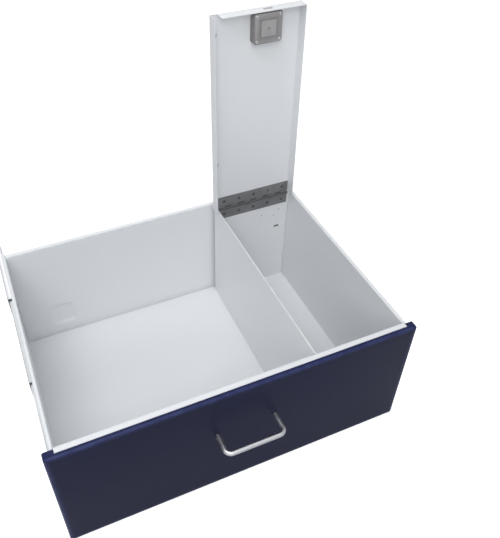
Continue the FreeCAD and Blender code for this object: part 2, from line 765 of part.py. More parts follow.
def leaf(label, first, pin_y, pin_z, plate_deep, plate_high, tab_high):
    """A leaf: its plate, and every second knuckle with the tab that carries it."""
    parts = [block(label + "_plate", leaf_span, plate_deep, plate_high)]
    tools = []
    for at in range(first, int(sizes["knuckle_count"]), 2):
        start = "hinge_left + knuckle_pitch * %d + knuckle_gap / 2" % at
        end = "hinge_left + knuckle_pitch * %d - knuckle_gap / 2" % (at + 1)
        parts.append(block("%s_tab_%d" % (label, at), (start, end), plate_deep, tab_high))
        parts.append(rod("%s_knuckle_%d" % (label, at), "+x", "knuckle_radius",
                         "knuckle_pitch - knuckle_gap", (start, pin_y, pin_z)))
    tools.append(rod(label + "_bore", "+x", "hinge_pin_radius + hinge_pin_gap",
                     "hinge_right - hinge_left + cut_over * 2", ("hinge_left - cut_over", pin_y, pin_z)))
    solid = join(label + "_joined", parts)
    return solid, tools


solid, tools = leaf("lower_leaf", 0, "pin_back", "pin_height", ("lock_back_in - leaf_steel", "lock_back_in"),
                    (leaf_low, "pin_height - (%s)" % pin_clear), (leaf_low, "box_top"))
for at, across in enumerate(leaf_rivet_spots):
    spot = (across, "lock_back_in - leaf_steel - cut_over", "pin_height - leaf_rivet_reach")
    tools.append(rod("lower_leaf_hole_%d" % at, "+y", "rivet_hole", "leaf_drill", spot))
node("lower_hinge_leaf", cut("lower_leaf_bored", solid, tools))

solid, tools = leaf("upper_leaf", 1, "0", "0", ("lid_face - leaf_steel", "lid_face"),
                    (pin_clear, "leaf_width"), ("pin_rise", "leaf_width"))
for at, across in enumerate(leaf_rivet_spots):
    spot = (across, "lid_face - leaf_steel - cut_over", "leaf_rivet_reach")
    tools.append(rod("upper_leaf_hole_%d" % at, "+y", "rivet_hole", "leaf_drill", spot))
node("upper_hinge_leaf", hang(cut("upper_leaf_bored", solid, tools)))

node("hinge_pin", rod("pin_wire", "+x", "hinge_pin_radius", "hinge_right - hinge_left",
                      ("hinge_left", "pin_back", "pin_height")))

lower_rivets = []
upper_rivets = []
for at, across in enumerate(leaf_rivet_spots):
    low = (across, "lock_back_in - leaf_steel", "pin_height - leaf_rivet_reach")
    high = (across, "lid_face - leaf_steel", "leaf_rivet_reach")
    lower_rivets.append(rivet("lower_leaf_rivet_%d" % at, "+y", "-y", low, "leaf_steel + steel"))
    upper_rivets.append(rivet("upper_leaf_rivet_%d" % at, "+y", "-y", high, "leaf_steel + steel"))
node("lower_leaf_rivets", group("lower_rivet_set", lower_rivets))
node("upper_leaf_rivets", hang(group("upper_rivet_set", upper_rivets)))

# Lid: a panel with flanges down both sides and across its free end, drawn from the hinge pin
lid_span = ("lid_left", "lid_right")
lid_parts = [
    block("lid_panel", lid_span, ("lid_face", "lid_back"), ("lid_low", "lid_length")),
    block("lid_left_flange", ("lid_left", "lid_left + steel"), ("lid_lip", "lid_back"),
          ("lid_flange_start", "lid_length")),
    block("lid_right_flange", ("lid_right - steel", "lid_right"), ("lid_lip", "lid_back"),
          ("lid_flange_start", "lid_length")),
    block("lid_end_flange", ("end_left", "lid_right"), ("lid_lip", "lid_back"),
          ("lid_length - steel", "lid_length")),
]
lid_tools = [
    rod("lid_lock_hole", "+y", "housing_radius + hole_gap", "sheet_drill",
        ("lock_middle", "lid_face - cut_over", "lock_up")),
    block("lid_bolt_slot", strike_span, ("bolt_front - slot_gap", "tail_back + slot_gap"),
          ("lid_length - steel - cut_over", "lid_length + cut_over")),
]
for at, across in enumerate(leaf_rivet_spots):
    spot = (across, "lid_face - cut_over", "leaf_rivet_reach")
    lid_tools.append(rod("lid_rivet_hole_%d" % at, "+y", "rivet_hole", "sheet_drill", spot))
case_screw_spots = []
for across in ("lock_middle - case_screw_spacing / 2", "lock_middle + case_screw_spacing / 2"):
    for high in ("lock_up - case_screw_spacing / 2", "lock_up + case_screw_spacing / 2"):
        case_screw_spots.append((across, high))
for at, (across, high) in enumerate(case_screw_spots):
    spot = (across, "lid_face - cut_over", high)
    lid_tools.append(rod("lid_case_hole_%d" % at, "+y", "case_screw_hole", "sheet_drill", spot))
lid = cut("lid_cut", join("lid_joined", lid_parts), lid_tools)
node("lid_pan", hang(lid))

# Rubber buttons under the lid, over the hem of the insert's left wall
bumpers = []
for at in range(2):
    spot = ("lock_left + hem_width / 2", "lid_face", "lid_bumper_first + lid_bumper_pitch * %d" % at)
    bumpers.append(dome("lid_bumper_%d" % at, "-y", "bumper_radius", "lid_bumper_height", spot))
node("lid_bumpers", hang(group("lid_bumper_pair", bumpers)))

# Lock case: a pressed cover over the bolt, its open side against the lid
case_span = ("lock_middle - case_width / 2", "lock_middle + case_width / 2")
case_rise = ("lock_up - case_height / 2", "lock_up + case_height / 2")
case_outer = block("case_outer", case_span, ("case_front", "lid_face"), case_rise)
case_outer = rounded("case_round", case_outer, "case_radius", lambda point, box: point.y < box.YMax - HAIR)
case_tools = [
    block("case_hollow", (case_span[0] + " + case_wall", case_span[1] + " - case_wall"),
          ("case_in", "lid_face + cut_over"), (case_rise[0] + " + case_wall", case_rise[1] + " - case_wall")),
    block("case_bolt_slot", ("lock_middle - bolt_width / 2 - slot_gap / 2",
                             "lock_middle + bolt_width / 2 + slot_gap / 2"),
          ("bolt_front - slot_gap / 2", "tail_back + slot_gap / 2"),
          (case_rise[1] + " - case_wall - cut_over", case_rise[1] + " + cut_over")),
    rod("case_spindle_hole", "-y", "spindle_radius + hole_gap", "case_drill",
        ("lock_middle", "case_in + cut_over", "lock_up")),
]
for at, (across, high) in enumerate(case_screw_spots):
    case_tools.append(rod("case_screw_hole_%d" % at, "-y", "case_screw_hole", "case_drill",
                          (across, "case_in + cut_over", high)))
node("lock_case", hang(cut("case_cut", case_outer, case_tools)))

screws = []
for at, (across, high) in enumerate(case_screw_spots):
    screws.append(screw("case_screw_%d" % at, "+y", (across, "case_front", high), "case_depth + steel",
                        "case_screw_radius", "case_screw_head", "case_wall", "-y"))
node("lock_case_screws", hang(group("case_screw_set", screws)))

# Cylinder lock: a flanged housing through the lid, its nut inside, and the plug that the key turns
housing = join("housing_joined", [
    rod("housing_barrel", "-y", "housing_radius", "steel + housing_flange + housing_back + lid_face",
        ("lock_middle", "lid_back + housing_flange", "lock_up")),
    dome("housing_face", "+y", "housing_flange_radius", "housing_flange",
         ("lock_middle", "lid_back", "lock_up")),
])
housing_bore = rod("housing_bore", "-y", "plug_radius + plug_gap",
                   "steel + housing_flange + housing_back + lid_face + cut_over * 2",
                   ("lock_middle", "lid_back + housing_flange + cut_over", "lock_up"))
node("lock_housing", hang(cut("housing_bored", housing, [housing_bore])))

nut = doc.addObject("Part::Prism", "nut_hexagon")
nut.Polygon = 6
nut.setExpression("Circumradius", spell("nut_width"))
nut.setExpression("Height", spell("nut_height"))
nut.Placement.Rotation = TURNS["-y"]
move_to(nut, ("lock_middle", "lid_face", "lock_up"))
nut_bore = rod("nut_bore", "-y", "housing_radius + plug_gap", "nut_height + cut_over * 2",
               ("lock_middle", "lid_face + cut_over", "lock_up"))
node("lock_nut", hang(cut("nut_bored", nut, [nut_bore])))

plug_face = "lid_back + housing_flange + plug_proud"
plug = rod("plug_barrel", "-y", "plug_radius", plug_face + " + plug_back",
           ("lock_middle", plug_face, "lock_up"))
keyway = block("plug_keyway", ("lock_middle - keyway_width / 2", "lock_middle + keyway_width / 2"),
               (plug_face + " - keyway_depth", plug_face + " + cut_over"),
               ("lock_up - keyway_height / 2", "lock_up + keyway_height / 2"))
node("lock_plug", hang(cut("plug_cut", plug, [keyway])))

# Cam: a disc and arm on the back of the plug, the arm's pin in the bolt's window,
# and a slotted spindle whose end shows in the case
cam_spot = ("lock_middle", "cam_back", "lock_up")
cam_parts = [
    rod("cam_disc", "-y", "cam_radius", "cam_steel", cam_spot),
    block("cam_bar", ("lock_middle", "lock_middle + cam_arm"), ("cam_front", "cam_back"),
          ("lock_up - cam_arm_width / 2", "lock_up + cam_arm_width / 2")),
    rod("cam_arm_end", "-y", "cam_arm_width / 2", "cam_steel",
        ("lock_middle + cam_arm", "cam_back", "lock_up")),
    rod("cam_pin", "-y", "cam_pin_radius", "cam_pin_length + cam_steel",
        ("lock_middle + cam_arm", "cam_back", "lock_up")),
    rod("cam_spindle", "-y", "spindle_radius", "case_depth - lid_face - plug_back",
        ("lock_middle", "cam_back", "lock_up")),
]
spindle_slot = block("cam_spindle_slot", ("lock_middle - spindle_slot / 2", "lock_middle + spindle_slot / 2"),
                     ("case_front - cut_over", "case_front + spindle_slot_depth"),
                     ("lock_up - spindle_radius - cut_over", "lock_up + spindle_radius + cut_over"))
node("lock_cam", hang(cut("cam_slotted", join("cam_joined", cam_parts), [spindle_slot])))

# Bolt: a bar that slides out of the lid's free end, and a tail plate with a window for the cam's pin
tail_left = "lock_middle - spindle_radius - window_gap - tail_margin"
tail_right = "lock_middle + cam_arm + cam_pin_radius + window_gap + tail_margin"
tail_low = "lock_up - bolt_throw - spindle_radius - window_gap - tail_margin"
bolt_parts = [
    block("bolt_bar_solid", ("lock_middle - bolt_width / 2", "lock_middle + bolt_width / 2"),
          ("bolt_front", "tail_back"), ("bolt_foot", "bolt_tip")),
    block("bolt_tail", (tail_left, tail_right), ("tail_back - tail_thickness", "tail_back"),
          (tail_low, "bolt_foot + tail_overlap")),
]
bolt_tools = [
    block("bolt_spindle_window", ("lock_middle - spindle_radius - window_gap",
                                  "lock_middle + spindle_radius + window_gap"),
          ("tail_back - tail_thickness - cut_over", "tail_back + cut_over"),
          ("lock_up - bolt_throw - spindle_radius - window_gap", "lock_up + spindle_radius + window_gap")),
    block("bolt_pin_window", ("lock_middle - cam_pin_radius - window_gap",
                              "lock_middle + cam_arm + cam_pin_radius + window_gap"),
          ("tail_back - tail_thickness - cut_over", "tail_back + cut_over"),
          ("lock_up - cam_pin_radius - window_gap",
           "lock_up + cam_pin_radius + pin_rise_in_window + window_gap")),
]
node("lock_bolt", hang(cut("bolt_cut", join("bolt_joined", bolt_parts), bolt_tools)))

doc.recompute()

# Every object has to be sound before anything is written
for thing in doc.Objects:
    if "Invalid" in thing.State or "Error" in thing.State:
        raise RuntimeError("failed: %s %s" % (thing.Label, thing.State))
for name, thing in nodes.items():
    if thing.Shape.isNull() or not thing.Shape.isValid():
        raise RuntimeError("bad shape: " + name)
    if not thing.Shape.Solids:
        raise RuntimeError("no solid: " + name)

os.makedirs("parts", exist_ok=True)
for name, thing in nodes.items():
    thing.Shape.exportStep("parts/%s.step" % name)
print("nodes", len(nodes))
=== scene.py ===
import json
import math
import bmesh
import bpy
import numpy as np
from mathutils import Matrix


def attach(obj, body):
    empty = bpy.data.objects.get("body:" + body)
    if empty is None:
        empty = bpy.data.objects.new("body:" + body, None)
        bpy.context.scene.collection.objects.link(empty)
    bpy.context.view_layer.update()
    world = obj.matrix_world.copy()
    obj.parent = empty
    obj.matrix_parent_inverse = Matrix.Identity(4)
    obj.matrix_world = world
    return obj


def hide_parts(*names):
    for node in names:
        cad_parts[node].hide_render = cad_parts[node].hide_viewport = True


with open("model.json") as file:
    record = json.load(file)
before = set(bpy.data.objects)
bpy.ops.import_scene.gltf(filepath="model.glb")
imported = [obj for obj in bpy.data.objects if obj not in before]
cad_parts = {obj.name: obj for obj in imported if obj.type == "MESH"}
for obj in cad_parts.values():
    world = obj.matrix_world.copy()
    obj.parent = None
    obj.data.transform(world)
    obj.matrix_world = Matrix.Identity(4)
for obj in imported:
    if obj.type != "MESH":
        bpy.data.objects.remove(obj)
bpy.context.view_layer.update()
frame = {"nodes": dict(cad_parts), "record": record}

# Viewpoint: a fixed camera above and to the left of the open drawer, looking down into it.
# Its place and lens were fitted to the long straight edges of the object.
CAMERA_PLACE = (-0.2445, -0.8702, 0.9736)
CAMERA_TURN, CAMERA_DIP, CAMERA_ROLL = -23.242, 41.606, 0.1
scene = bpy.context.scene
scene.view_settings.view_transform = "Standard"
lens = bpy.data.cameras.new("viewpoint")
lens.sensor_width = 36.0
lens.lens = 41.70
lens.shift_x = 0.0534
lens.shift_y = -0.0439
lens.clip_start = 0.02
viewpoint = bpy.data.objects.new("viewpoint", lens)
scene.collection.objects.link(viewpoint)
viewpoint.matrix_world = (Matrix.Translation(CAMERA_PLACE)
                          @ Matrix.Rotation(math.radians(CAMERA_TURN), 4, "Z")
                          @ Matrix.Rotation(math.radians(90 - CAMERA_DIP), 4, "X")
                          @ Matrix.Rotation(math.radians(CAMERA_ROLL), 4, "Z"))
scene.camera = viewpoint

# Light: broad soft lamps overhead and in front, weaker ones to the left and behind, and an even pale
# surround. The surround looks white to the camera and in reflections, and lights the object more gently.
for name, place, target, size, power in (
        ("soft_top", (-0.6, -0.6, 2.5), (0.0, -0.2, 0.2), 1.6, 24.0),
        ("soft_front", (-0.6, -2.2, 1.9), (0.0, -0.2, 0.2), 1.6, 27.0),
        ("soft_left", (-2.2, -0.2, 1.7), (0.0, -0.2, 0.2), 1.5, 3.5),
        ("soft_back", (0.3, 2.0, 2.2), (0.1, -0.1, 0.3), 1.6, 10.0)):
    lamp = bpy.data.lights.new(name, "AREA")
    lamp.size = size
    lamp.energy = power
    holder = bpy.data.objects.new(name, lamp)
    scene.collection.objects.link(holder)
    back = np.array(place) - np.array(target)
    turn = math.atan2(back[0], -back[1])
    tilt = math.atan2(math.hypot(back[0], back[1]), back[2])
    holder.matrix_world = (Matrix.Translation(place) @ Matrix.Rotation(turn, 4, "Z")
                           @ Matrix.Rotation(tilt, 4, "X"))


def looking(tree):
    """One for rays that see a surface from the camera, in a reflection or through glass, else nought."""
    path = tree.nodes.new("ShaderNodeLightPath")
    share = path.outputs["Is Camera Ray"]
    for word in ("Is Glossy Ray", "Is Transmission Ray"):
        either = tree.nodes.new("ShaderNodeMath")
        either.operation = "MAXIMUM"
        tree.links.new(share, either.inputs[0])
        tree.links.new(path.outputs[word], either.inputs[1])
        share = either.outputs[0]
    return share


surround = bpy.data.worlds.new("surround")
scene.world = surround
surround.use_nodes = True
sky = surround.node_tree
sky.nodes["Background"].inputs["Color"].default_value = (0.93, 0.96, 1.0, 1.0)
sky.nodes["Background"].inputs["Strength"].default_value = 0.35
seen = sky.nodes.new("ShaderNodeBackground")
seen.inputs["Color"].default_value = (1.0, 1.0, 1.0, 1.0)
choose = sky.nodes.new("ShaderNodeMixShader")
sky.links.new(looking(sky), choose.inputs[0])
sky.links.new(sky.nodes["Background"].outputs[0], choose.inputs[1])
sky.links.new(seen.outputs[0], choose.inputs[2])
sky.links.new(choose.outputs[0], sky.nodes["World Output"].inputs["Surface"])

# Ground: a plain pale surface that the drawer's front stands on, wide enough to fill every view. It has a
# faint mottle and keeps the shadow. Sizes are in metres.
GROUND_REACH, GROUND_TOP, TILES = 60.0, -0.0006, 10


def finish(name, **values):
    """A material with its Principled shader; what is the same all over goes on the shader's own sockets."""
    made = bpy.data.materials.new(name)
    made.use_nodes = True
    shader = made.node_tree.nodes["Principled BSDF"]
    for word, value in values.items():
        shader.inputs[word.replace("_", " ").title().replace("Ior", "IOR")].default_value = value
    return made


def spots(made, scale, detail=3.0, stretch=(1.0, 1.0, 1.0)):
    """Noise over the object's own coordinates, in metres; stretch draws it out along an axis."""
    tree = made.node_tree
    place = tree.nodes.new("ShaderNodeTexCoord")
    squeeze = tree.nodes.new("ShaderNodeMapping")
    squeeze.inputs["Scale"].default_value = stretch
    noise = tree.nodes.new("ShaderNodeTexNoise")
    noise.inputs["Scale"].default_value = scale
    noise.inputs["Detail"].default_value = detail
    tree.links.new(place.outputs["Object"], squeeze.inputs["Vector"])
    tree.links.new(squeeze.outputs["Vector"], noise.inputs["Vector"])
    return noise.outputs["Fac"]


def ramp(made, source, stops):
    """A colour ramp over a 0 to 1 value; grey stops may be given as one number."""
    node = made.node_tree.nodes.new("ShaderNodeValToRGB")
    line = node.color_ramp.elements
    for element, (at, colour) in zip(line, stops):
        element.position = at
        grey = (colour,) * 3 if isinstance(colour, float) else colour
        element.color = (*grey, 1.0)
    made.node_tree.links.new(source, node.inputs["Fac"])
    return node.outputs["Color"]


def mixed(made, share, first, second):
    """Two colours mixed by a share; each may be a socket or a fixed colour."""
    node = made.node_tree.nodes.new("ShaderNodeMix")
    node.data_type = "RGBA"
    for socket, value in zip((node.inputs[0], node.inputs[6], node.inputs[7]), (share, first, second)):
        if isinstance(value, bpy.types.NodeSocket):
            made.node_tree.links.new(value, socket)
        else:
            socket.default_value = (*value, 1.0)
    return node.outputs[2]


def plug_in(made, word, source):
    """Feeds one socket of the material's Principled shader."""
    made.node_tree.links.new(source, made.node_tree.nodes["Principled BSDF"].inputs[word])


def relief(made, *layers):
    """Bumps one on another: each layer is a height source, its strength and its depth in metres."""
    normal = None
    for source, strength, depth in layers:
        bump = made.node_tree.nodes.new("ShaderNodeBump")
        bump.inputs["Strength"].default_value = strength
        bump.inputs["Distance"].default_value = depth
        made.node_tree.links.new(source, bump.inputs["Height"])
        if normal is not None:
            made.node_tree.links.new(normal, bump.inputs["Normal"])
        normal = bump.outputs["Normal"]
    plug_in(made, "Normal", normal)


edges = np.linspace(-GROUND_REACH, GROUND_REACH, TILES + 1)
across, along = np.meshgrid(edges, edges, indexing="ij")
spread = np.stack([across, along, np.full_like(across, GROUND_TOP)], -1).reshape(-1, 3)
corner = (np.arange(TILES)[:, None] * (TILES + 1) + np.arange(TILES)).reshape(-1)
tiles = np.stack([corner, corner + TILES + 1, corner + TILES + 2, corner + 1], -1)
ground_mesh = bpy.data.meshes.new("ground")
ground_mesh.from_pydata(spread.tolist(), [], tiles.tolist())
ground = bpy.data.objects.new("ground", ground_mesh)
scene.collection.objects.link(ground)
pale = finish("pale_ground", roughness=0.75, emission_color=(1.0, 1.0, 1.0, 1.0))
pale_share = looking(pale.node_tree)
pale_tone = ramp(pale, spots(pale, 9.0), [(0.3, (0.76, 0.765, 0.77)), (0.7, (0.78, 0.785, 0.79))])
plug_in(pale, "Base Color", mixed(pale, pale_share, pale_tone, (1.0, 1.0, 1.0)))
pale_path = pale.node_tree.nodes.new("ShaderNodeLightPath")
plug_in(pale, "Emission Strength", ramp(pale, pale_path.outputs["Is Camera Ray"], [(0.0, 0.0), (1.0, 0.5)]))
relief(pale, (spots(pale, 420.0), 0.05, 0.0004))
ground_mesh.materials.append(pale)

# Drawer tray: floor and side walls folded from one 1.2 mm steel sheet, each wall's top turned in and
# down as a rim. It is sprayed white enamel, thin on the folds, with a faint orange peel. Here and in all
# that follows, sizes are in millimetres from the middle of the shut front's lower edge.
MM = 0.001
STEEL = 1.2
HALF = STEEL / 2
BEND, FOLD_STEPS = 1.4, 6
WALL, RIM, FLOOR = 281.8, 275.8, 2.3
BOX_TOP, RIM_LOW = 231.0, 225.0
SHEET_TOP = BOX_TOP - HALF
FRONT_BACK, TRAY_END = -386.0, 27.0


def bent(corners, radius, steps=FOLD_STEPS):
    """Middle line of a folded sheet: straight runs joined by arcs that touch both runs at each corner.
    Returns its points and how much each belongs to a fold, nought at an arc's ends and one in its middle.
    radius may be one number or one a corner."""
    corners = np.asarray(corners, float)
    radii = [radius] * (len(corners) - 2) if np.isscalar(radius) else radius
    points, folds = [corners[:1]], [[0.0]]
    for at, size in enumerate(radii, 1):
        before = corners[at] - corners[at - 1]
        after = corners[at + 1] - corners[at]
        before = before / np.hypot(*before)
        after = after / np.hypot(*after)
        turn = math.atan2(before[0] * after[1] - before[1] * after[0], float(before @ after))
        start = corners[at] - before * size * abs(math.tan(turn / 2))
        side = math.copysign(1.0, turn) * np.array([-before[1], before[0]])
        angles = np.linspace(0, turn, steps + 1)[:, None]
        arm = -side * size
        turned = np.hstack([arm[0] * np.cos(angles) - arm[1] * np.sin(angles),
                            arm[0] * np.sin(angles) + arm[1] * np.cos(angles)])
        points.append(start + side * size + turned)
        folds.append(np.sin(np.linspace(0, math.pi, steps + 1)))
    points, folds = np.vstack(points + [corners[-1:]]), np.concatenate(folds + [[0.0]])
    apart = np.append(True, np.hypot(*np.diff(points, axis=0).T) > 1e-4)
    return points[apart], folds[apart]


def shell(ring, rows, closed, caps):
    """Faces of a grid of rows by ring points: quads between neighbours, round the ring when it is closed,
    and the given cap faces of the first row, repeated turned over on the last."""
    count = ring if closed else ring - 1
    low = (np.arange(rows - 1)[:, None] * ring + np.arange(count)).reshape(-1)
    step = np.where(np.arange(count) == ring - 1, 1 - ring, 1)
    side = low + np.tile(step, rows - 1)
    quads = np.stack([low, side, side + ring, low + ring], -1).tolist()
    last = (rows - 1) * ring
    return quads + [list(cap) for cap in caps] + [[last + at for at in reversed(cap)] for cap in caps]


def set_along(section, reach, axis):
    """Points of a section carried along an axis: section is (u, v), reach the place along the axis."""
    u, v = np.broadcast_to(section[..., 0], reach.shape), np.broadcast_to(section[..., 1], reach.shape)
    order = {"x": (reach, u, v), "y": (u, reach, v), "z": (u, v, reach)}[axis]
    return np.stack(order, -1).reshape(-1, 3)


def sheet(line, axis, start, end, rows=(0.0, 1.0)):
    """A folded sheet: the middle line set off half the thickness to both sides along its mitred normals,
    then carried from start to end. start and end may be functions of the section's two coordinates. The
    fold attribute is high on the bends and on the cut edges at both ends."""
    middle, folds = line
    run = np.diff(middle, axis=0)
    run = run / np.hypot(run[:, 0], run[:, 1])[:, None]
    before, after = np.vstack([run[:1], run]), np.vstack([run, run[-1:]])
    normal = np.stack([-(before + after)[:, 1], (before + after)[:, 0]], -1)
    normal = normal / (1 + (before * after).sum(1))[:, None]
    loop = np.vstack([middle + normal * HALF, (middle - normal * HALF)[::-1]])
    wear_and_shade = np.concatenate([folds, folds[::-1]])
    beside_edges = (0.004, 0.996)
    share = np.union1d(rows, beside_edges)[:, None]
    first = start(loop[:, 0], loop[:, 1]) if callable(start) else np.full(len(loop), float(start))
    final = end(loop[:, 0], loop[:, 1]) if callable(end) else np.full(len(loop), float(end))
    reach = first + (final - first) * share
    count = len(middle)
    caps = [(at, at + 1, 2 * count - 2 - at, 2 * count - 1 - at) for at in range(count - 1)]
    faces = shell(len(loop), len(share), True, caps)
    edge_wear_and_shade = np.where((share == 0.0) | (share == 1.0), 0.6, 0.0)
    return set_along(loop[None], reach, axis), faces, np.maximum(wear_and_shade[None], edge_wear_and_shade).reshape(-1)


def built(name, parts):
    """One mesh from closed parts in millimetres: each part's doubles merged and its faces turned outwards."""
    whole = bmesh.new()
    whole.verts.layers.float.new("fold")
    for points, faces, fold_share in parts:
        mesh = bpy.data.meshes.new("part")
        mesh.from_pydata((np.asarray(points) * MM).tolist(), [], faces)
        mesh.attributes.new("fold", "FLOAT", "POINT").data.foreach_set("value", np.asarray(fold_share, np.float32))
        part = bmesh.new()
        part.from_mesh(mesh)
        bmesh.ops.remove_doubles(part, verts=part.verts, dist=1e-7)
        bmesh.ops.recalc_face_normals(part, faces=part.faces)
        part.to_mesh(mesh)
        part.free()
        whole.from_mesh(mesh)
        bpy.data.meshes.remove(mesh)
    mesh = bpy.data.meshes.new(name)
    whole.to_mesh(mesh)
    whole.free()
    return mesh


def piece(name, parts, skin, body, stands_for, bores=(), crease=35.0):
    """A finished object: its parts, cut by its bores, smooth up to the crease angle, with its material,
    riding on its body and standing for its nodes."""
    made = bpy.data.objects.new(name, built(name, parts))
    scene.collection.objects.link(made)
    if bores:
        tool = bpy.data.objects.new("tool", built("tool", bores))
        scene.collection.objects.link(tool)
        cutter = made.modifiers.new("cut", "BOOLEAN")
        cutter.object = tool
        cutter.solver = "EXACT"
        cutter.use_self = True
        view = bpy.context.evaluated_depsgraph_get()
        cut = bpy.data.meshes.new_from_object(made.evaluated_get(view))
        made.modifiers.clear()
        made.data = cut
        cut.name = name
        bpy.data.objects.remove(tool)
    made.data.shade_smooth()
    made.data.set_sharp_from_angle(angle=math.radians(crease))
    made.data.materials.clear()
    made.data.materials.append(skin)
    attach(made, body)
    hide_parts(*stands_for)


def on_folds(made):
    """How much each place belongs to a fold, from the mesh's own attribute; nought where it has none."""
    fold = made.node_tree.nodes.new("ShaderNodeAttribute")
    fold.attribute_name = "fold"
    return fold.outputs["Fac"]


def enamel(name, tones, thin_paint_and_highlight, fold_share, rough, peel, gloss, coat):
    """Sprayed enamel: a broad drift between two tones, a fold colour where the fold attribute is high, by a
    share between the two given, fine orange peel, slow waves of the sheet, and a little glossier in patches.
    On white enamel the fold colour is thinner paint; on the blue front it is a painted highlight on the
    rounded edges."""
    made = finish(name, specular_ior_level=gloss, coat_weight=coat, coat_roughness=0.18)
    tree = made.node_tree
    drift = ramp(made, spots(made, 5.0, 1.0), [(0.25, tones[0]), (0.75, tones[1])])
    thin_paint_and_highlight_mask = tree.nodes.new("ShaderNodeMath")
    thin_paint_and_highlight_mask.operation = "MULTIPLY"
    tree.links.new(on_folds(made), thin_paint_and_highlight_mask.inputs[0])
    tree.links.new(ramp(made, spots(made, 60.0, 5.0), [(0.40, fold_share[0]), (0.62, fold_share[1])]), thin_paint_and_highlight_mask.inputs[1])
    dust = ramp(made, spots(made, 1400.0, 2.0), [(0.66, 0.0), (0.74, 0.35)])
    # Fold colour: thinner paint on white enamel, a painted highlight on the blue front's rounded edges.
    aged_and_highlighted = mixed(made, thin_paint_and_highlight_mask.outputs[0], drift, thin_paint_and_highlight)
    plug_in(made, "Base Color", mixed(made, dust, aged_and_highlighted, thin_paint_and_highlight))
    patches = ramp(made, spots(made, 35.0, 4.0), [(0.3, rough - 0.015), (0.7, rough + 0.015)])
    plug_in(made, "Roughness", patches)
    relief(made, (spots(made, 6.0, 0.0), 0.05, 0.0009), (spots(made, 780.0, 2.0), peel, 0.00012))
    return made


white = enamel("white_enamel", tones=[(0.772, 0.786, 0.806), (0.782, 0.796, 0.815)], thin_paint_and_highlight=(0.62, 0.65, 0.68),
               fold_share=(0.15, 0.75), rough=0.38, peel=0.06, gloss=0.45, coat=0.15)
side_line = [(WALL - HALF, FLOOR + HALF), (WALL - HALF, SHEET_TOP), (RIM + HALF, SHEET_TOP),
             (RIM + HALF, RIM_LOW)]
tray_line = [(-x, z) for x, z in reversed(side_line)] + side_line
piece("tray_sheet", [sheet(bent(tray_line, BEND), "y", FRONT_BACK, TRAY_END, rows=np.linspace(0, 1, 9))],
      white, "drawer", ["drawer_tray"])

# Drawer back: a panel with its rim and flanges turned rearwards and welded to the side walls. Low on its
# left side it has a shallow pressed pad, sunk away from the inside of the drawer.
BACK_IN, BACK_RIM = 15.8, 23.0
BACK_MID = BACK_IN + HALF
SIDE_MID = WALL - STEEL - HALF
PANEL_LOW = FLOOR + STEEL + HALF
FLANGE_BEND, BACK_FLANGE_LOW = 1.2, 4.8
PAD_CENTRE, PAD_HALF = (-201.5, 55.5), (16.5, 19.5)
PAD_EDGE, PAD_DEEP = 7.0, 3.0


def pad_depth(x, z):
    """Depth of the pressed pad: full inside a rounded rectangle, falling off smoothly round its edge."""
    off = np.hypot(np.maximum(np.abs(x - PAD_CENTRE[0]) - PAD_HALF[0], 0),
                   np.maximum(np.abs(z - PAD_CENTRE[1]) - PAD_HALF[1], 0))
    fall = np.clip(1 - off / PAD_EDGE, 0, 1)
    return PAD_DEEP * fall * fall * (3 - 2 * fall)


def flange(inner, outer, across, end, low, high):
    """An upright strip at a panel's side: it leaves the panel along X and turns rearwards at outer."""
    return sheet(bent([(inner, across), (outer, across), (outer, end)], FLANGE_BEND), "z", low, high)


# Fine rows and columns carry the pad. The rows take the place of the points where the flat meets its bends.
rows = np.concatenate([np.linspace(222, 100, 7), np.linspace(90, 22, 35)])
columns = np.concatenate([np.linspace(-RIM, -240, 3), np.linspace(-232, -171, 31), np.linspace(-150, RIM, 9)])
web, web_folds = bent([(BACK_RIM, SHEET_TOP), (BACK_MID, SHEET_TOP), (BACK_MID, PANEL_LOW),
                       (TRAY_END, PANEL_LOW)], FLANGE_BEND)
upper, lower = FOLD_STEPS + 1, FOLD_STEPS + 3
flat_rows = np.stack([np.full(len(rows), BACK_MID), rows], -1)
web = np.vstack([web[:upper], flat_rows, web[lower:]])
web_folds = np.concatenate([web_folds[:upper], np.zeros(len(rows)), web_folds[lower:]])
points, faces, fold_share = sheet((web, web_folds), "x", -RIM, RIM, rows=(columns + RIM) / (2 * RIM))
flat = np.abs(points[:, 1] - BACK_MID) < HALF + 0.1
points[:, 1] += np.where(flat, pad_depth(points[:, 0], points[:, 2]), 0.0)
back_parts = [(points, faces, fold_share)]
for side in (-1, 1):
    back_parts.append(flange(side * RIM, side * SIDE_MID, BACK_MID, TRAY_END, BACK_FLANGE_LOW, RIM_LOW))
piece("drawer_back_panel", back_parts, white, "drawer", ["drawer_back"])

# Inner front wall: a panel with side flanges turned rearwards. Its top edge is turned forwards over the
# front panel as a white ledge, and beside the lock box a hem stiffens it. In front of the lock box it is
# plain and has the slot that takes the lid's bolt.
FRONT_IN, FRONT_WALL_LOW = -384.8, FLOOR + STEEL
FRONT_MID, FRONT_FLANGE = FRONT_IN - HALF, FRONT_IN + 10.0
LEDGE_FRONT, LEDGE_TOP, LEDGE_BEND = -393.4, 234.2, 0.9
FRONT_HEM_MID, FRONT_HEM_END = FRONT_IN + 0.7, 109.0
FRONT_HEM = (218.5, 232.0)
BOLT_WIDE, BOLT_DEEP, BOLT_HIGH = (198, 214), (-390, -380), (219.9, 227.5)


def slot_bar(wide, deep, high):
    """A squared bar between two values on each axis, used to cut slots."""
    loop = np.array([(wide[0], deep[0]), (wide[1], deep[0]), (wide[1], deep[1]), (wide[0], deep[1])], float)
    reach = np.broadcast_to(np.array([[high[0]], [high[1]]], float), (2, 4))
    return set_along(loop[None], reach, "z"), shell(4, 2, True, [range(4)]), np.zeros(8)


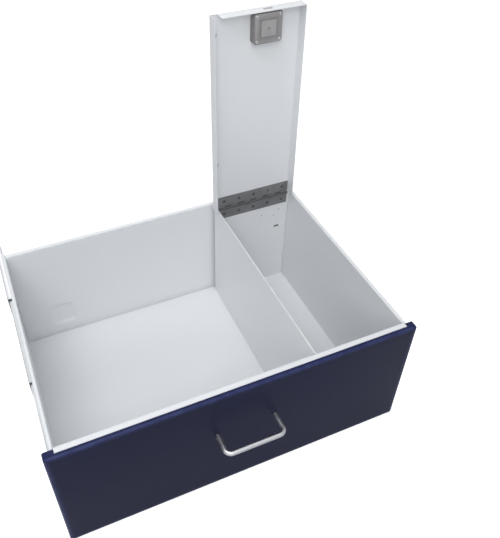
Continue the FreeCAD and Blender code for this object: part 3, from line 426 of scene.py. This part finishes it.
bolt_slot = slot_bar(BOLT_WIDE, BOLT_DEEP, BOLT_HIGH)
wall_line = bent([(FRONT_MID, FRONT_WALL_LOW), (FRONT_MID, LEDGE_TOP - HALF),
                  (LEDGE_FRONT, LEDGE_TOP - HALF)], LEDGE_BEND)
hem_line = bent([(FRONT_HEM_MID, FRONT_HEM[0]), (FRONT_HEM_MID, FRONT_HEM[1])], 0.0)
inner_parts = [sheet(wall_line, "x", -RIM, RIM, rows=np.linspace(0, 1, 9)),
               sheet(hem_line, "x", -RIM, FRONT_HEM_END, rows=np.linspace(0, 1, 5))]
for side in (-1, 1):
    inner_parts.append(flange(side * RIM, side * SIDE_MID, FRONT_MID, FRONT_FLANGE, FRONT_WALL_LOW, RIM_LOW))
piece("inner_front_panel", inner_parts, white, "drawer", ["drawer_inner_front"], [bolt_slot])

# Front panel: a hollow steel pan with rounded front edges and a lip turned in round its open back.
# It is sprayed deep blue, satin to semi-gloss. Its blue is painted near-black as painted shade, and its
# rounded edges take a lighter blue as a painted highlight.
FRONT_FACE, FRONT_HALF = -400.0, (292.0, 116.5)
EDGE, LIP_BEND, FRONT_LIP = 3.5, 1.0, 20.0
FLAT_FROM = 9.0


def pressed(half, centre, corner, profile, steps=6):
    """A rounded rectangle carried along a profile: at each (inset, depth) the outline shrinks by the inset
    and its corner radius with it; the first and last outlines are closed by flat faces. The fold attribute
    is high where the profile turns."""
    profile = np.asarray(profile, float)
    inset = profile[:, 0][:, None]
    radius = np.maximum(corner - inset, 0.15)
    quarter = np.linspace(0, math.pi / 2, steps + 1)
    angle = np.concatenate([quarter + at * math.pi / 2 for at in range(4)])
    sign_u = np.repeat([1, -1, -1, 1], steps + 1)
    sign_v = np.repeat([1, 1, -1, -1], steps + 1)
    u = centre[0] + sign_u * (half[0] - inset - radius) + radius * np.cos(angle)
    v = centre[1] + sign_v * (half[1] - inset - radius) + radius * np.sin(angle)
    depth = np.broadcast_to(profile[:, 1][:, None], u.shape)
    count = u.shape[1]
    points = np.stack([u, depth, v], -1).reshape(-1, 3)
    way = np.unwrap(np.arctan2(np.gradient(profile[:, 1]), np.gradient(profile[:, 0])))
    bend = np.abs(np.gradient(way))
    bend[[0, -1]] = 0.0
    fold_share = np.repeat(np.clip(bend * 3.0, 0, 1), count)
    return points, shell(count, len(profile), True, [range(count)]), fold_share


def arc(centre, radius, start, end, steps=6):
    """Points of an arc in the profile's plane, in degrees."""
    angle = np.radians(np.linspace(start, end, steps + 1))
    return np.stack([centre[0] + radius * np.cos(angle), centre[1] + radius * np.sin(angle)], -1)


# Painted shade: the tones are far darker than the paint. Painted highlight: the lighter fold colour on the
# rounded edges.
blue = enamel("blue_enamel", tones=[(0.0036, 0.0060, 0.029), (0.0044, 0.0074, 0.034)],
              thin_paint_and_highlight=(0.052, 0.064, 0.175), fold_share=(0.60, 0.90), rough=0.32, peel=0.05, gloss=0.08, coat=0.0)
front_profile = np.vstack([
    [(FLAT_FROM, FRONT_FACE)],
    arc((EDGE, FRONT_FACE + EDGE), EDGE, 270, 180),
    arc((LIP_BEND, FRONT_BACK - LIP_BEND), LIP_BEND, 180, 90),
    [(FRONT_LIP, FRONT_BACK), (FRONT_LIP, FRONT_BACK - STEEL)],
    arc((STEEL + LIP_BEND, FRONT_BACK - STEEL - LIP_BEND), LIP_BEND, 90, 180),
    arc((EDGE, FRONT_FACE + EDGE), EDGE - STEEL, 180, 270),
    [(FLAT_FROM, FRONT_FACE + STEEL)],
])
piece("front_panel_pan", [pressed(FRONT_HALF, (0.0, FRONT_HALF[1]), EDGE, front_profile)],
      blue, "drawer", ["front_panel"], [bolt_slot])

# Screws: zinc-plated pan heads with a cross recess. Six clamp the front panel to the inner front wall,
# two go through it into the pull, and four a side hold the slides.
HEAD, SHANK = (3.6, 2.0), 2.0
PANEL_SCREW_X, PANEL_SCREW_Z = (-240, -75, 90), (11.0, 222.0)
PULL_HALF, PULL_HIGH = 48.0, 141.0
RACE, SLIDE_SEAT = 110.0, 283.0
SLIDE_SCREW_Y = (-363, -243, -123, -3)
PANEL_SCREW_LONG, PULL_SCREW_LONG, SLIDE_SCREW_LONG = 4.4, 27.2, 3.0


def outward(way):
    """Unit vector of a signed axis such as +x."""
    axis = {"x": (1, 0, 0), "y": (0, 1, 0), "z": (0, 0, 1)}[way[1]]
    return np.array(axis, float) * (-1 if way[0] == "-" else 1)


def fastener(spot, way, head, shank, recess=True, point=0.35, sides=32):
    """A screw or rivet on its axis: rings out over the domed head, down its side, in under it, and along
    the shank to a rounded tip. head and shank are (radius, length); the cross recess lowers the crown."""
    crown = np.linspace(0, 0.86, 7)
    rings = [(head[0] * t, head[1] * (1 - 0.28 * t * t)) for t in crown]
    rings += [(head[0] * 0.97, head[1] * 0.62), (head[0], head[1] * 0.4), (head[0], 0.0)]
    rings += [(shank[0], 0.0), (shank[0], point - shank[1]), (shank[0] * 0.6, -shank[1]), (0.0, -shank[1])]
    rings = np.array(rings)
    angle = np.arange(sides) * 2 * math.pi / sides
    radius, rise = rings[:, 0][:, None], rings[:, 1][:, None]
    p, q = radius * np.cos(angle), radius * np.sin(angle)
    if recess:
        wide, long = head[0] * 0.14, head[0] * 0.58
        cross = ((np.abs(p) < wide) & (np.abs(q) < long)) | ((np.abs(q) < wide) & (np.abs(p) < long))
        rise = rise - np.where(cross & (rise > head[1] * 0.7), head[1] * 0.55, 0.0)
    else:
        rise = rise + 0 * p
    out = outward(way)
    side = np.roll(out, 1)
    third = np.cross(out, side)
    points = np.asarray(spot, float) + p[..., None] * side + q[..., None] * third + rise[..., None] * out
    return points.reshape(-1, 3), shell(sides, len(rings), True, []), np.zeros(len(rings) * sides)


def plate(name, tones, rough, grain, stretch=(1.0, 1.0, 1.0), fold_darkening=0.0):
    """Bare or plated metal: two tones in slow clouds, fine grain drawn out along the rolling direction,
    patches that are duller, and folds darkened towards a near-black colour by the given share; on the hinge
    this darkening is painted shade."""
    made = finish(name, metallic=1.0)
    colour = ramp(made, spots(made, 30.0, 2.0), [(0.25, tones[0]), (0.75, tones[1])])
    # Folds mixed towards a near-black colour; on the hinge this is painted shade.
    if fold_darkening:
        darkening = ramp(made, on_folds(made), [(0.0, 0.0), (1.0, fold_darkening)])
        colour = mixed(made, darkening, colour, (0.050, 0.048, 0.046))
    plug_in(made, "Base Color", colour)
    fine = spots(made, grain, 4.0, stretch)
    dull = spots(made, 90.0, 3.0, stretch)
    plug_in(made, "Roughness", ramp(made, dull, [(0.3, rough - 0.03), (0.7, rough + 0.06)]))
    relief(made, (fine, 0.25, 0.00006))
    return made


screw_steel = plate("screw_steel", [(0.46, 0.47, 0.49), (0.60, 0.61, 0.63)], rough=0.30, grain=900.0)
panel_screws = [fastener((x, FRONT_IN, z), "+y", HEAD, (SHANK, PANEL_SCREW_LONG))
                for z in PANEL_SCREW_Z for x in PANEL_SCREW_X]
piece("panel_screws", panel_screws, screw_steel, "drawer", ["front_panel_screws"])
pull_screws = [fastener((x, FRONT_IN, PULL_HIGH), "+y", HEAD, (SHANK, PULL_SCREW_LONG))
               for x in (-PULL_HALF, PULL_HALF)]
piece("pull_screw_pair", pull_screws, screw_steel, "drawer", ["pull_screws"])
slide_screws = [fastener((side * SLIDE_SEAT, y, RACE), way, HEAD, (SHANK, SLIDE_SCREW_LONG))
                for side, way in ((-1, "-x"), (1, "+x")) for y in SLIDE_SCREW_Y]
piece("slide_screws", slide_screws, screw_steel, "drawer", ["drawer_member_screws"])

# Rubber buttons: four small moulded bumpers behind the front panel, outside the drawer's box. They are
# matt grey, with a flat face and a rounded shoulder, and meet the cabinet when the drawer shuts.
BUTTON_X, BUTTON_Z = 286.9, (20.0, 213.0)
BUTTON_ROUND, BUTTON_HIGH = 4.0, 2.5


def button(spot, way, radius, height, sides=32):
    """A low moulded button: flat face, rounded shoulder, slightly flared foot."""
    rings = np.array([(0.0, 1.0), (0.45, 1.0), (0.62, 0.98), (0.74, 0.88), (0.80, 0.72), (0.84, 0.35),
                      (0.93, 0.12), (1.0, 0.0), (0.0, 0.0)]) * (radius, height)
    angle = np.arange(sides) * 2 * math.pi / sides
    p, q = rings[:, :1] * np.cos(angle), rings[:, :1] * np.sin(angle)
    rise = np.broadcast_to(rings[:, 1:], p.shape) * outward(way)[1]
    points = np.stack([spot[0] + p, spot[1] + rise, spot[2] + q], -1).reshape(-1, 3)
    return points, shell(sides, len(rings), True, []), np.zeros(len(rings) * sides)


rubber = finish("grey_rubber", specular_ior_level=0.3)
rubber_tones = [(0.3, (0.55, 0.56, 0.57)), (0.7, (0.64, 0.65, 0.66))]
plug_in(rubber, "Base Color", ramp(rubber, spots(rubber, 300.0), rubber_tones))
plug_in(rubber, "Roughness", ramp(rubber, spots(rubber, 600.0), [(0.3, 0.62), (0.7, 0.8)]))
relief(rubber, (spots(rubber, 2500.0), 0.3, 0.00008))
front_buttons = [button((side * BUTTON_X, FRONT_BACK, z), "+y", BUTTON_ROUND, BUTTON_HIGH)
                 for side in (-1, 1) for z in BUTTON_Z]
piece("front_buttons", front_buttons, rubber, "drawer", ["front_bumpers"])

# Wire pull: 8 mm steel wire, satin chromed, with two bent feet that stand square on the front panel.
# Screws hold it from behind.
WIRE, CORNER, GRIP = 4.0, 10.0, FRONT_FACE - 36.0


def wire(route, radius, sides=28):
    """A round wire: a ring carried along a route that lies in one level plane, each ring square to it."""
    run = np.gradient(route, axis=0)
    run = run / np.linalg.norm(run, axis=1)[:, None]
    flat = np.stack([-run[:, 1], run[:, 0], np.zeros(len(run))], -1)
    angle = np.arange(sides) * 2 * math.pi / sides
    ease = np.ones(len(route))
    ease[[0, -1]] = 0.92
    ring = flat[:, None] * np.cos(angle)[:, None] + np.array([0, 0, 1.0]) * np.sin(angle)[:, None]
    points = route[:, None] + ring * radius * ease[:, None, None]
    return points.reshape(-1, 3), shell(sides, len(route), True, [range(sides)]), np.zeros(len(route) * sides)


turn = np.radians(np.linspace(0, 90, 13))
left = np.stack([CORNER - PULL_HALF - CORNER * np.cos(turn), GRIP + CORNER - CORNER * np.sin(turn)], -1)
foot = np.array([(-PULL_HALF, FRONT_FACE - out) for out in (0, 0.4, 5, 12, 19)])
grip = np.array([(x, GRIP) for x in (-25, -12, 0, 12, 25)])
route = np.vstack([foot, left, grip, left[::-1] * (-1, 1), foot[::-1] * (-1, 1)])
route = np.hstack([route, np.full((len(route), 1), PULL_HIGH)])
chrome = plate("chrome_wire", [(0.38, 0.39, 0.41), (0.46, 0.47, 0.49)], rough=0.38, grain=1500.0,
               stretch=(0.2, 1.0, 1.0))
piece("wire_pull", [wire(route, WIRE)], chrome, "drawer", ["drawer_pull"])

# Lock box insert: its floor and side walls are one folded sheet, and the top of its left wall is hemmed
# double, so that it shows as a smooth white edge. Its back, with a small slot and three holes, and its
# front stand between them on flanges. It is enamelled and riveted to the drawer's floor.
LOCK_LEFT, LOCK_RIGHT, LOCK_FRONT, LOCK_END = 118.5, 275.5, -384.5, 7.7
LOCK_HEM, LOCK_HEM_TOP, LOCK_HEM_LOW, HEM_BEND = 120.4, 230.35, 219.0, 0.65
LOCK_BACK_MID, LOCK_BACK_RIM = -2.9, 3.7
LOCK_FRONT_MID, LOCK_FRONT_FLANGE = LOCK_FRONT + HALF, -373.3
LOCK_LOW, LOCK_FLANGE_LOW = PANEL_LOW + HALF, 4.75
SHOULDER, SHARP = 219.5, 0.01
ABOVE_SHOULDER, BELOW_SHOULDER, FLANGE_MID = (121.05, 274.3), (122.0, 272.0), (120.3, 273.7)
KEEPER_SLOT = ((245.5, 256.5), (145.6, 150.2))
KEEPER_HOLES, KEEPER_BORE, KEEPER_DEEP = ((216, 185), (243.5, 179), (254, 191.5)), 1.6, (-6, 0)
RIVET_X, RIVET_Y = (158.5, 235.5), (-343.3, -43.5)
RIVET_HEAD, RIVET_SHANK, RIVET_SET, RIVET_POINT = (3.0, 1.0), 1.6, 1.5, 0.05


def rod(centre, axis, radius, start, end, sides=32):
    """A plain round bar along an axis, used to bore holes."""
    angle = np.arange(sides) * 2 * math.pi / sides
    loop = np.stack([centre[0] + radius * np.cos(angle), centre[1] + radius * np.sin(angle)], -1)
    reach = np.broadcast_to(np.array([[start], [end]], float), (2, sides))
    return set_along(loop[None], reach, axis), shell(sides, 2, True, [range(sides)]), np.zeros(2 * sides)


def lock_span(above, below):
    """How far a panel of the insert reaches in X: to one place above its shoulder, to another below it."""
    def reach(depth, height):
        return np.where(height > SHOULDER, above, below)
    return reach


def rivet(spot, way, grip):
    """A button-headed rivet through a grip of sheet, with a flatter head set on its far side."""
    other = ("-" if way[0] == "+" else "+") + way[1]
    beyond = np.asarray(spot) - outward(way) * grip
    near = fastener(spot, way, RIVET_HEAD, (RIVET_SHANK, grip), False, RIVET_POINT)
    far = fastener(beyond, other, RIVET_HEAD, (RIVET_SET, grip * 0.5), False, RIVET_POINT)
    return [near, far]


shell_line = [(LOCK_HEM, LOCK_HEM_LOW), (LOCK_HEM, LOCK_HEM_TOP), (LOCK_LEFT + HALF, LOCK_HEM_TOP),
              (LOCK_LEFT + HALF, PANEL_LOW), (LOCK_RIGHT - HALF, PANEL_LOW), (LOCK_RIGHT - HALF, BOX_TOP)]
piece("lock_box_sheet", [sheet(bent(shell_line, [HEM_BEND, HEM_BEND, BEND, BEND]), "y", LOCK_FRONT, LOCK_END,
                               rows=np.linspace(0, 1, 9))],
      white, "drawer", ["lock_box_shell"])
from_left, to_right = [lock_span(above, below) for above, below in zip(ABOVE_SHOULDER, BELOW_SHOULDER)]
back_line = [(LOCK_BACK_RIM, SHEET_TOP), (LOCK_BACK_MID, SHEET_TOP), (LOCK_BACK_MID, SHOULDER + 0.3),
             (LOCK_BACK_MID, SHOULDER - 0.3), (LOCK_BACK_MID, LOCK_LOW)]
front_line = [(LOCK_FRONT_MID, BOX_TOP), (LOCK_FRONT_MID, SHOULDER + 0.3), (LOCK_FRONT_MID, SHOULDER - 0.3),
              (LOCK_FRONT_MID, LOCK_LOW)]
lock_back = [sheet(bent(back_line, [FLANGE_BEND, SHARP, SHARP]), "x", from_left, to_right,
                   rows=np.linspace(0, 1, 5))]
lock_front = [sheet(bent(front_line, SHARP), "x", from_left, to_right, rows=np.linspace(0, 1, 5))]
for inner, outer in zip(BELOW_SHOULDER, FLANGE_MID):
    lock_back.append(flange(inner, outer, LOCK_BACK_MID, LOCK_END, LOCK_FLANGE_LOW, LOCK_HEM_LOW))
    lock_front.append(flange(inner, outer, LOCK_FRONT_MID, LOCK_FRONT_FLANGE, LOCK_FLANGE_LOW, LOCK_HEM_LOW))
back_bores = [slot_bar(KEEPER_SLOT[0], KEEPER_DEEP, KEEPER_SLOT[1])]
back_bores += [rod((x, z), "y", KEEPER_BORE, *KEEPER_DEEP) for x, z in KEEPER_HOLES]
piece("lock_box_back_panel", lock_back, white, "drawer", ["lock_box_back"], back_bores)
piece("lock_box_front_panel", lock_front, white, "drawer", ["lock_box_front"], [bolt_slot])
floor_rivets = []
for x in RIVET_X:
    for y in RIVET_Y:
        floor_rivets += rivet((x, y, LOCK_LOW), "+z", 2 * STEEL)
piece("floor_rivets", floor_rivets, white, "drawer", ["lock_box_floor_rivets"])

# Continuous hinge: two dark satin steel leaves whose edges are rolled in turn round one pin, and button
# rivets. The lower leaf is riveted inside the insert's back, the upper one inside the lid. The rolled edge
# is darkened with painted shade, which dims the highlight along its knuckles.
PIN_Y, PIN_Z, LEAN = -6.25, 231.5, math.radians(1.5)
HINGE, KNUCKLES, KNUCKLE_GAP = (121.5, 268.7), 11, 0.15
PITCH = (HINGE[1] - HINGE[0]) / KNUCKLES
LEAF_MID, LEAF_EDGE, LEAF_NOTCH, LEAF_WIDE = 2.15, 6.5, 2.75, 25.4
CURL, CURL_TURN, DARKENING_RISE = 1.85, 292, 7


def lean(part):
    """A lid piece drawn from the hinge pin, leant back round it and set on it."""
    points, faces, fold_share = part
    x, y, z = np.asarray(points, float).T
    y, z = (PIN_Y + y * math.cos(LEAN) + z * math.sin(LEAN), PIN_Z - y * math.sin(LEAN) + z * math.cos(LEAN))
    return np.stack([x, y, z], -1), faces, fold_share


def on_pin(part):
    """A piece drawn from the hinge pin, set on it upright."""
    points, faces, fold_share = part
    return np.asarray(points) + (0.0, PIN_Y, PIN_Z), faces, fold_share


def leaf(first, way):
    """A leaf in the pin's own frame: its flat plate, and every second knuckle as a strip that leaves the
    plate and curls round the pin, with its painted shade rising over the first points. way is +1 for the
    upper leaf, -1 for the lower one."""
    curl = np.radians(np.linspace(0, CURL_TURN, 30)) * -way
    ring = np.stack([CURL * np.cos(curl), CURL * np.sin(curl)], -1)
    rise = [(LEAF_MID, LEAF_EDGE), (LEAF_MID, 5.6), (LEAF_MID, 4.2), (2.08, 2.8), (1.92, 1.3)]
    roll = np.vstack([np.array(rise) * (1, way), ring])
    darkening = np.minimum(np.arange(len(roll)) / DARKENING_RISE, 1.0)
    plate_line = np.array([(LEAF_MID, way * LEAF_WIDE), (LEAF_MID, way * LEAF_EDGE)])
    notch_line = np.array([(LEAF_MID, way * LEAF_EDGE), (LEAF_MID, way * LEAF_NOTCH)])
    parts = [sheet((plate_line, np.zeros(2)), "x", *HINGE, rows=np.linspace(0, 1, 5))]
    for at in range(KNUCKLES):
        start, end = HINGE[0] + PITCH * at, HINGE[0] + PITCH * (at + 1)
        if at % 2 == first:
            parts.append(sheet((roll, darkening), "x", start + KNUCKLE_GAP, end - KNUCKLE_GAP))
        else:
            parts.append(sheet((notch_line, np.zeros(2)), "x", start - KNUCKLE_GAP * (at > 0),
                               end + KNUCKLE_GAP * (at < KNUCKLES - 1)))
    return parts


# Painted shade: the rolled knuckles are mixed towards near-black by the given share, dimming their highlight.
hinge_steel = plate("hinge_steel", [(0.235, 0.238, 0.245), (0.300, 0.300, 0.305)], rough=0.60, grain=700.0,
                    stretch=(0.15, 1.0, 1.0), fold_darkening=0.70)
lower_leaf = [on_pin(part) for part in leaf(0, -1)]
upper_leaf = [lean(part) for part in leaf(1, 1)]
piece("lower_leaf", lower_leaf, hinge_steel, "drawer", ["lower_hinge_leaf"])
piece("upper_leaf", upper_leaf, hinge_steel, "lid", ["upper_hinge_leaf"])
rivet_steel = plate("rivet_steel", [(0.10, 0.095, 0.095), (0.17, 0.165, 0.16)], rough=0.38, grain=1200.0)
RIVET_FACE, RIVET_OUT, RIVET_INSET, RIVETS = LEAF_MID - HALF, 15.0, 12.0, 5
low_rivets, high_rivets = [], []
for x in np.linspace(HINGE[0] + RIVET_INSET, HINGE[1] - RIVET_INSET, RIVETS):
    low_rivets += [on_pin(part) for part in rivet((x, RIVET_FACE, -RIVET_OUT), "-y", 2 * STEEL)]
    high_rivets += [lean(part) for part in rivet((x, RIVET_FACE, RIVET_OUT), "-y", 2 * STEEL)]
piece("lower_rivets", low_rivets, rivet_steel, "drawer", ["lower_leaf_rivets"])
piece("upper_rivets", high_rivets, rivet_steel, "lid", ["upper_leaf_rivets"])

# Lid: one folded sheet with a flange down each side and one across its free end, enamelled white. The
# free end's flange has the slot for the bolt, and the panel the hole for the cylinder lock. It is drawn
# from the hinge pin, with its inner face towards -Y.
LID, LONG = (111.0, 270.5), 373.0
FACE, LIP = 2.75, -18.05
LID_MID, END_FOLD = FACE + HALF, 3.5
LOCK, LOCK_HOLE = (206.0, 343.5), 9.1
LID_FOOT, FLANGE_FOOT = -0.3, 5.0
FLAT_IN, FOLD_IN, END_FROM = 2.4, 2.2, 123.5
LID_BUTTON_X, LID_BUTTON_Z, LID_BUTTON_HIGH = 119.75, (100.0, 340.0), 3.0
LID_SLOT = (BOLT_WIDE, (-11.6, -4.0), (370.8, 374.0))


def lid_foot(x, depth):
    """The panel starts just under the pin, the side flanges 5 mm above it."""
    return np.where(depth > FACE - 0.1, LID_FOOT, FLANGE_FOOT)


def lid_top(x, depth):
    """The side flanges run to the free end; the flat panel stops where the end's fold begins."""
    flat = (depth > FACE - 0.1) & (x > LID[0] + FLAT_IN - 0.4) & (x < LID[1] - FLAT_IN + 0.4)
    return np.where(flat, LONG - END_FOLD, LONG)


def end_left(depth, height):
    """The end's flange starts beside the hem of the lock box, its fold beside the lid's left flange."""
    return np.where(depth > FACE - HALF, LID[0] + FOLD_IN, END_FROM)


def end_right(depth, height):
    """The end's flange runs to the lid's right flange, its fold to just beside it."""
    return np.where(depth > FACE - HALF, LID[1] - FOLD_IN, LID[1] - STEEL - 0.05)


lid_line, lid_folds = bent([(LID[0] + HALF, LIP), (LID[0] + HALF, LID_MID), (LID[1] - HALF, LID_MID),
                            (LID[1] - HALF, LIP)], BEND)
lid_half = FOLD_STEPS + 2
lid_flat = [(LID[0] + FLAT_IN, LID_MID), (LID[1] - FLAT_IN, LID_MID)]
lid_section = (np.vstack([lid_line[:lid_half], lid_flat, lid_line[lid_half:]]),
               np.concatenate([lid_folds[:lid_half], [0.0, 0.0], lid_folds[lid_half:]]))
lid_end = bent([(LID_MID, LONG - END_FOLD), (LID_MID, LONG - HALF), (LIP, LONG - HALF)], BEND)
lid_parts = [lean(sheet(lid_section, "z", lid_foot, lid_top, rows=np.linspace(0, 1, 9))),
             lean(sheet(lid_end, "x", end_left, end_right, rows=np.linspace(0, 1, 5)))]
lid_bores = [lean(slot_bar(*LID_SLOT)), lean(rod(LOCK, "y", LOCK_HOLE, 1.0, 6.0, 48))]
piece("lid_sheet", lid_parts, white, "lid", ["lid_pan"], lid_bores)
lid_buttons = [lean(button((LID_BUTTON_X, FACE, z), "-y", BUTTON_ROUND, LID_BUTTON_HIGH))
               for z in LID_BUTTON_Z]
piece("lid_buttons", lid_buttons, rubber, "lid", ["lid_bumpers"])

# Lock on the lid's inner face: a die-cast grey cover over the bolt, held by four small screws, with a
# raised middle and the slotted end of the cam's spindle showing in it.
COVER, RAISED = -13.25, -14.05
CASE_HALF, CASE_CORNER, CASE_WALL, CASE_BEND = (25.0, 25.0), 4.0, 1.5, 2.5
CASE_SCREW, SPINDLE_HOLE = 20.0, 2.1
CASE_SCREW_HEAD, CASE_SCREW_SHANK = (2.6, 1.5), (1.5, 17.2)
CASE_SLOT = ((198.5, 213.5), (-11.1, -4.5), (365.5, 369.5))
cast = plate("cast_zinc", [(0.345, 0.335, 0.340), (0.435, 0.425, 0.430)], rough=0.46, grain=1100.0,
             fold_darkening=0.35)
case_profile = np.vstack([
    [(13.0, RAISED)],
    arc((11.6, RAISED + 0.4), 0.4, 270, 180, 3),
    [(11.0, COVER)],
    arc((CASE_BEND, COVER + CASE_BEND), CASE_BEND, 270, 180),
    [(0.0, FACE), (CASE_WALL, FACE)],
    arc((2 * CASE_WALL, COVER + 2 * CASE_WALL), CASE_WALL, 180, 270, 4),
    [(12.0, COVER + CASE_WALL)],
])
case_bores = [lean(slot_bar(*CASE_SLOT)), lean(rod(LOCK, "y", SPINDLE_HOLE, -16.0, -10.0))]
piece("lock_cover", [lean(pressed(CASE_HALF, LOCK, CASE_CORNER, case_profile))], cast, "lid",
      ["lock_case"], case_bores)
cover_screws = [lean(fastener((LOCK[0] + u, COVER, LOCK[1] + v), "-y", CASE_SCREW_HEAD, CASE_SCREW_SHANK))
                for u in (-CASE_SCREW, CASE_SCREW) for v in (-CASE_SCREW, CASE_SCREW)]
piece("cover_screws", cover_screws, screw_steel, "lid", ["lock_case_screws"])

# Telescopic slides: on each side a channel on the cabinet, one between, and one on the drawer, rolled
# from bright zinc-plated strip with lips curled round the rows of balls. Each member's upper half is
# given from its lip to its back, in X and from the level of the race, and mirrored below.
SLIDE_LONG, SLIDE_OUT, SCREW_HOLE = 400.0, 294.0, 2.25
MEMBERS = (
    ("cabinet", [(285.9, 19.8), (285.9, 21.9), (293.9, 21.9)], [1.0, 1.2, 1.2, 1.0], 17.0, (57.0, 377.0)),
    ("intermediate", [(284.5, 17.5), (291.6, 17.5)], [1.2, 1.2], -183.0, ()),
    ("drawer", [(289.9, 13.1), (282.4, 13.1)], [1.2, 1.2], -383.0, ()),
)
zinc = plate("zinc_plate", [(0.52, 0.535, 0.555), (0.58, 0.59, 0.61)], rough=0.28, grain=800.0,
             stretch=(1.0, 0.08, 1.0))
for word, side in (("left", -1), ("right", 1)):
    bodies = {"cabinet": "cabinet_rails", "intermediate": word + "_intermediate", "drawer": "drawer"}
    for member, upper_half, radii, start, hole_places in MEMBERS:
        line, folds = bent(upper_half + [(x, -z) for x, z in reversed(upper_half)], radii)
        line = line * (side, 1.0) + (0.0, RACE)
        holes = [rod((y, RACE), "x", SCREW_HOLE, side * SLIDE_OUT - 5, side * SLIDE_OUT + 5)
                 for y in hole_places]
        piece("%s_%s_channel" % (word, member), [sheet((line, folds), "y", start, start + SLIDE_LONG)],
              zinc, bodies[member], ["%s_%s_member" % (word, member)], holes)

# Other finishes: the cages, balls, hinge pin, sleeves and the lock's inner pieces stay as they are drawn
# and take the metal that each is made of.
ball_steel = plate("ball_steel", [(0.66, 0.67, 0.69), (0.74, 0.75, 0.77)], rough=0.09, grain=2000.0)
cage_steel = plate("cage_strip", [(0.38, 0.39, 0.41), (0.48, 0.49, 0.51)], rough=0.34, grain=900.0,
                   stretch=(1.0, 0.1, 1.0))
lock_chrome = plate("lock_chrome", [(0.56, 0.57, 0.59), (0.66, 0.67, 0.69)], rough=0.20, grain=1400.0)
remaining = {
    "zinc_steel": zinc, "cage_steel": cage_steel, "ball_steel": ball_steel, "hinge_steel": hinge_steel,
    "screw_steel": screw_steel, "lock_zinc": cast, "lock_chrome": lock_chrome,
}
slot_of = {part["node"]: part["material_slot"] for part in frame["record"]["subparts"]}
for name, drawn in frame["nodes"].items():
    skin = remaining.get(slot_of[name])
    if skin is not None:
        drawn.data.materials.clear()
        drawn.data.materials.append(skin)
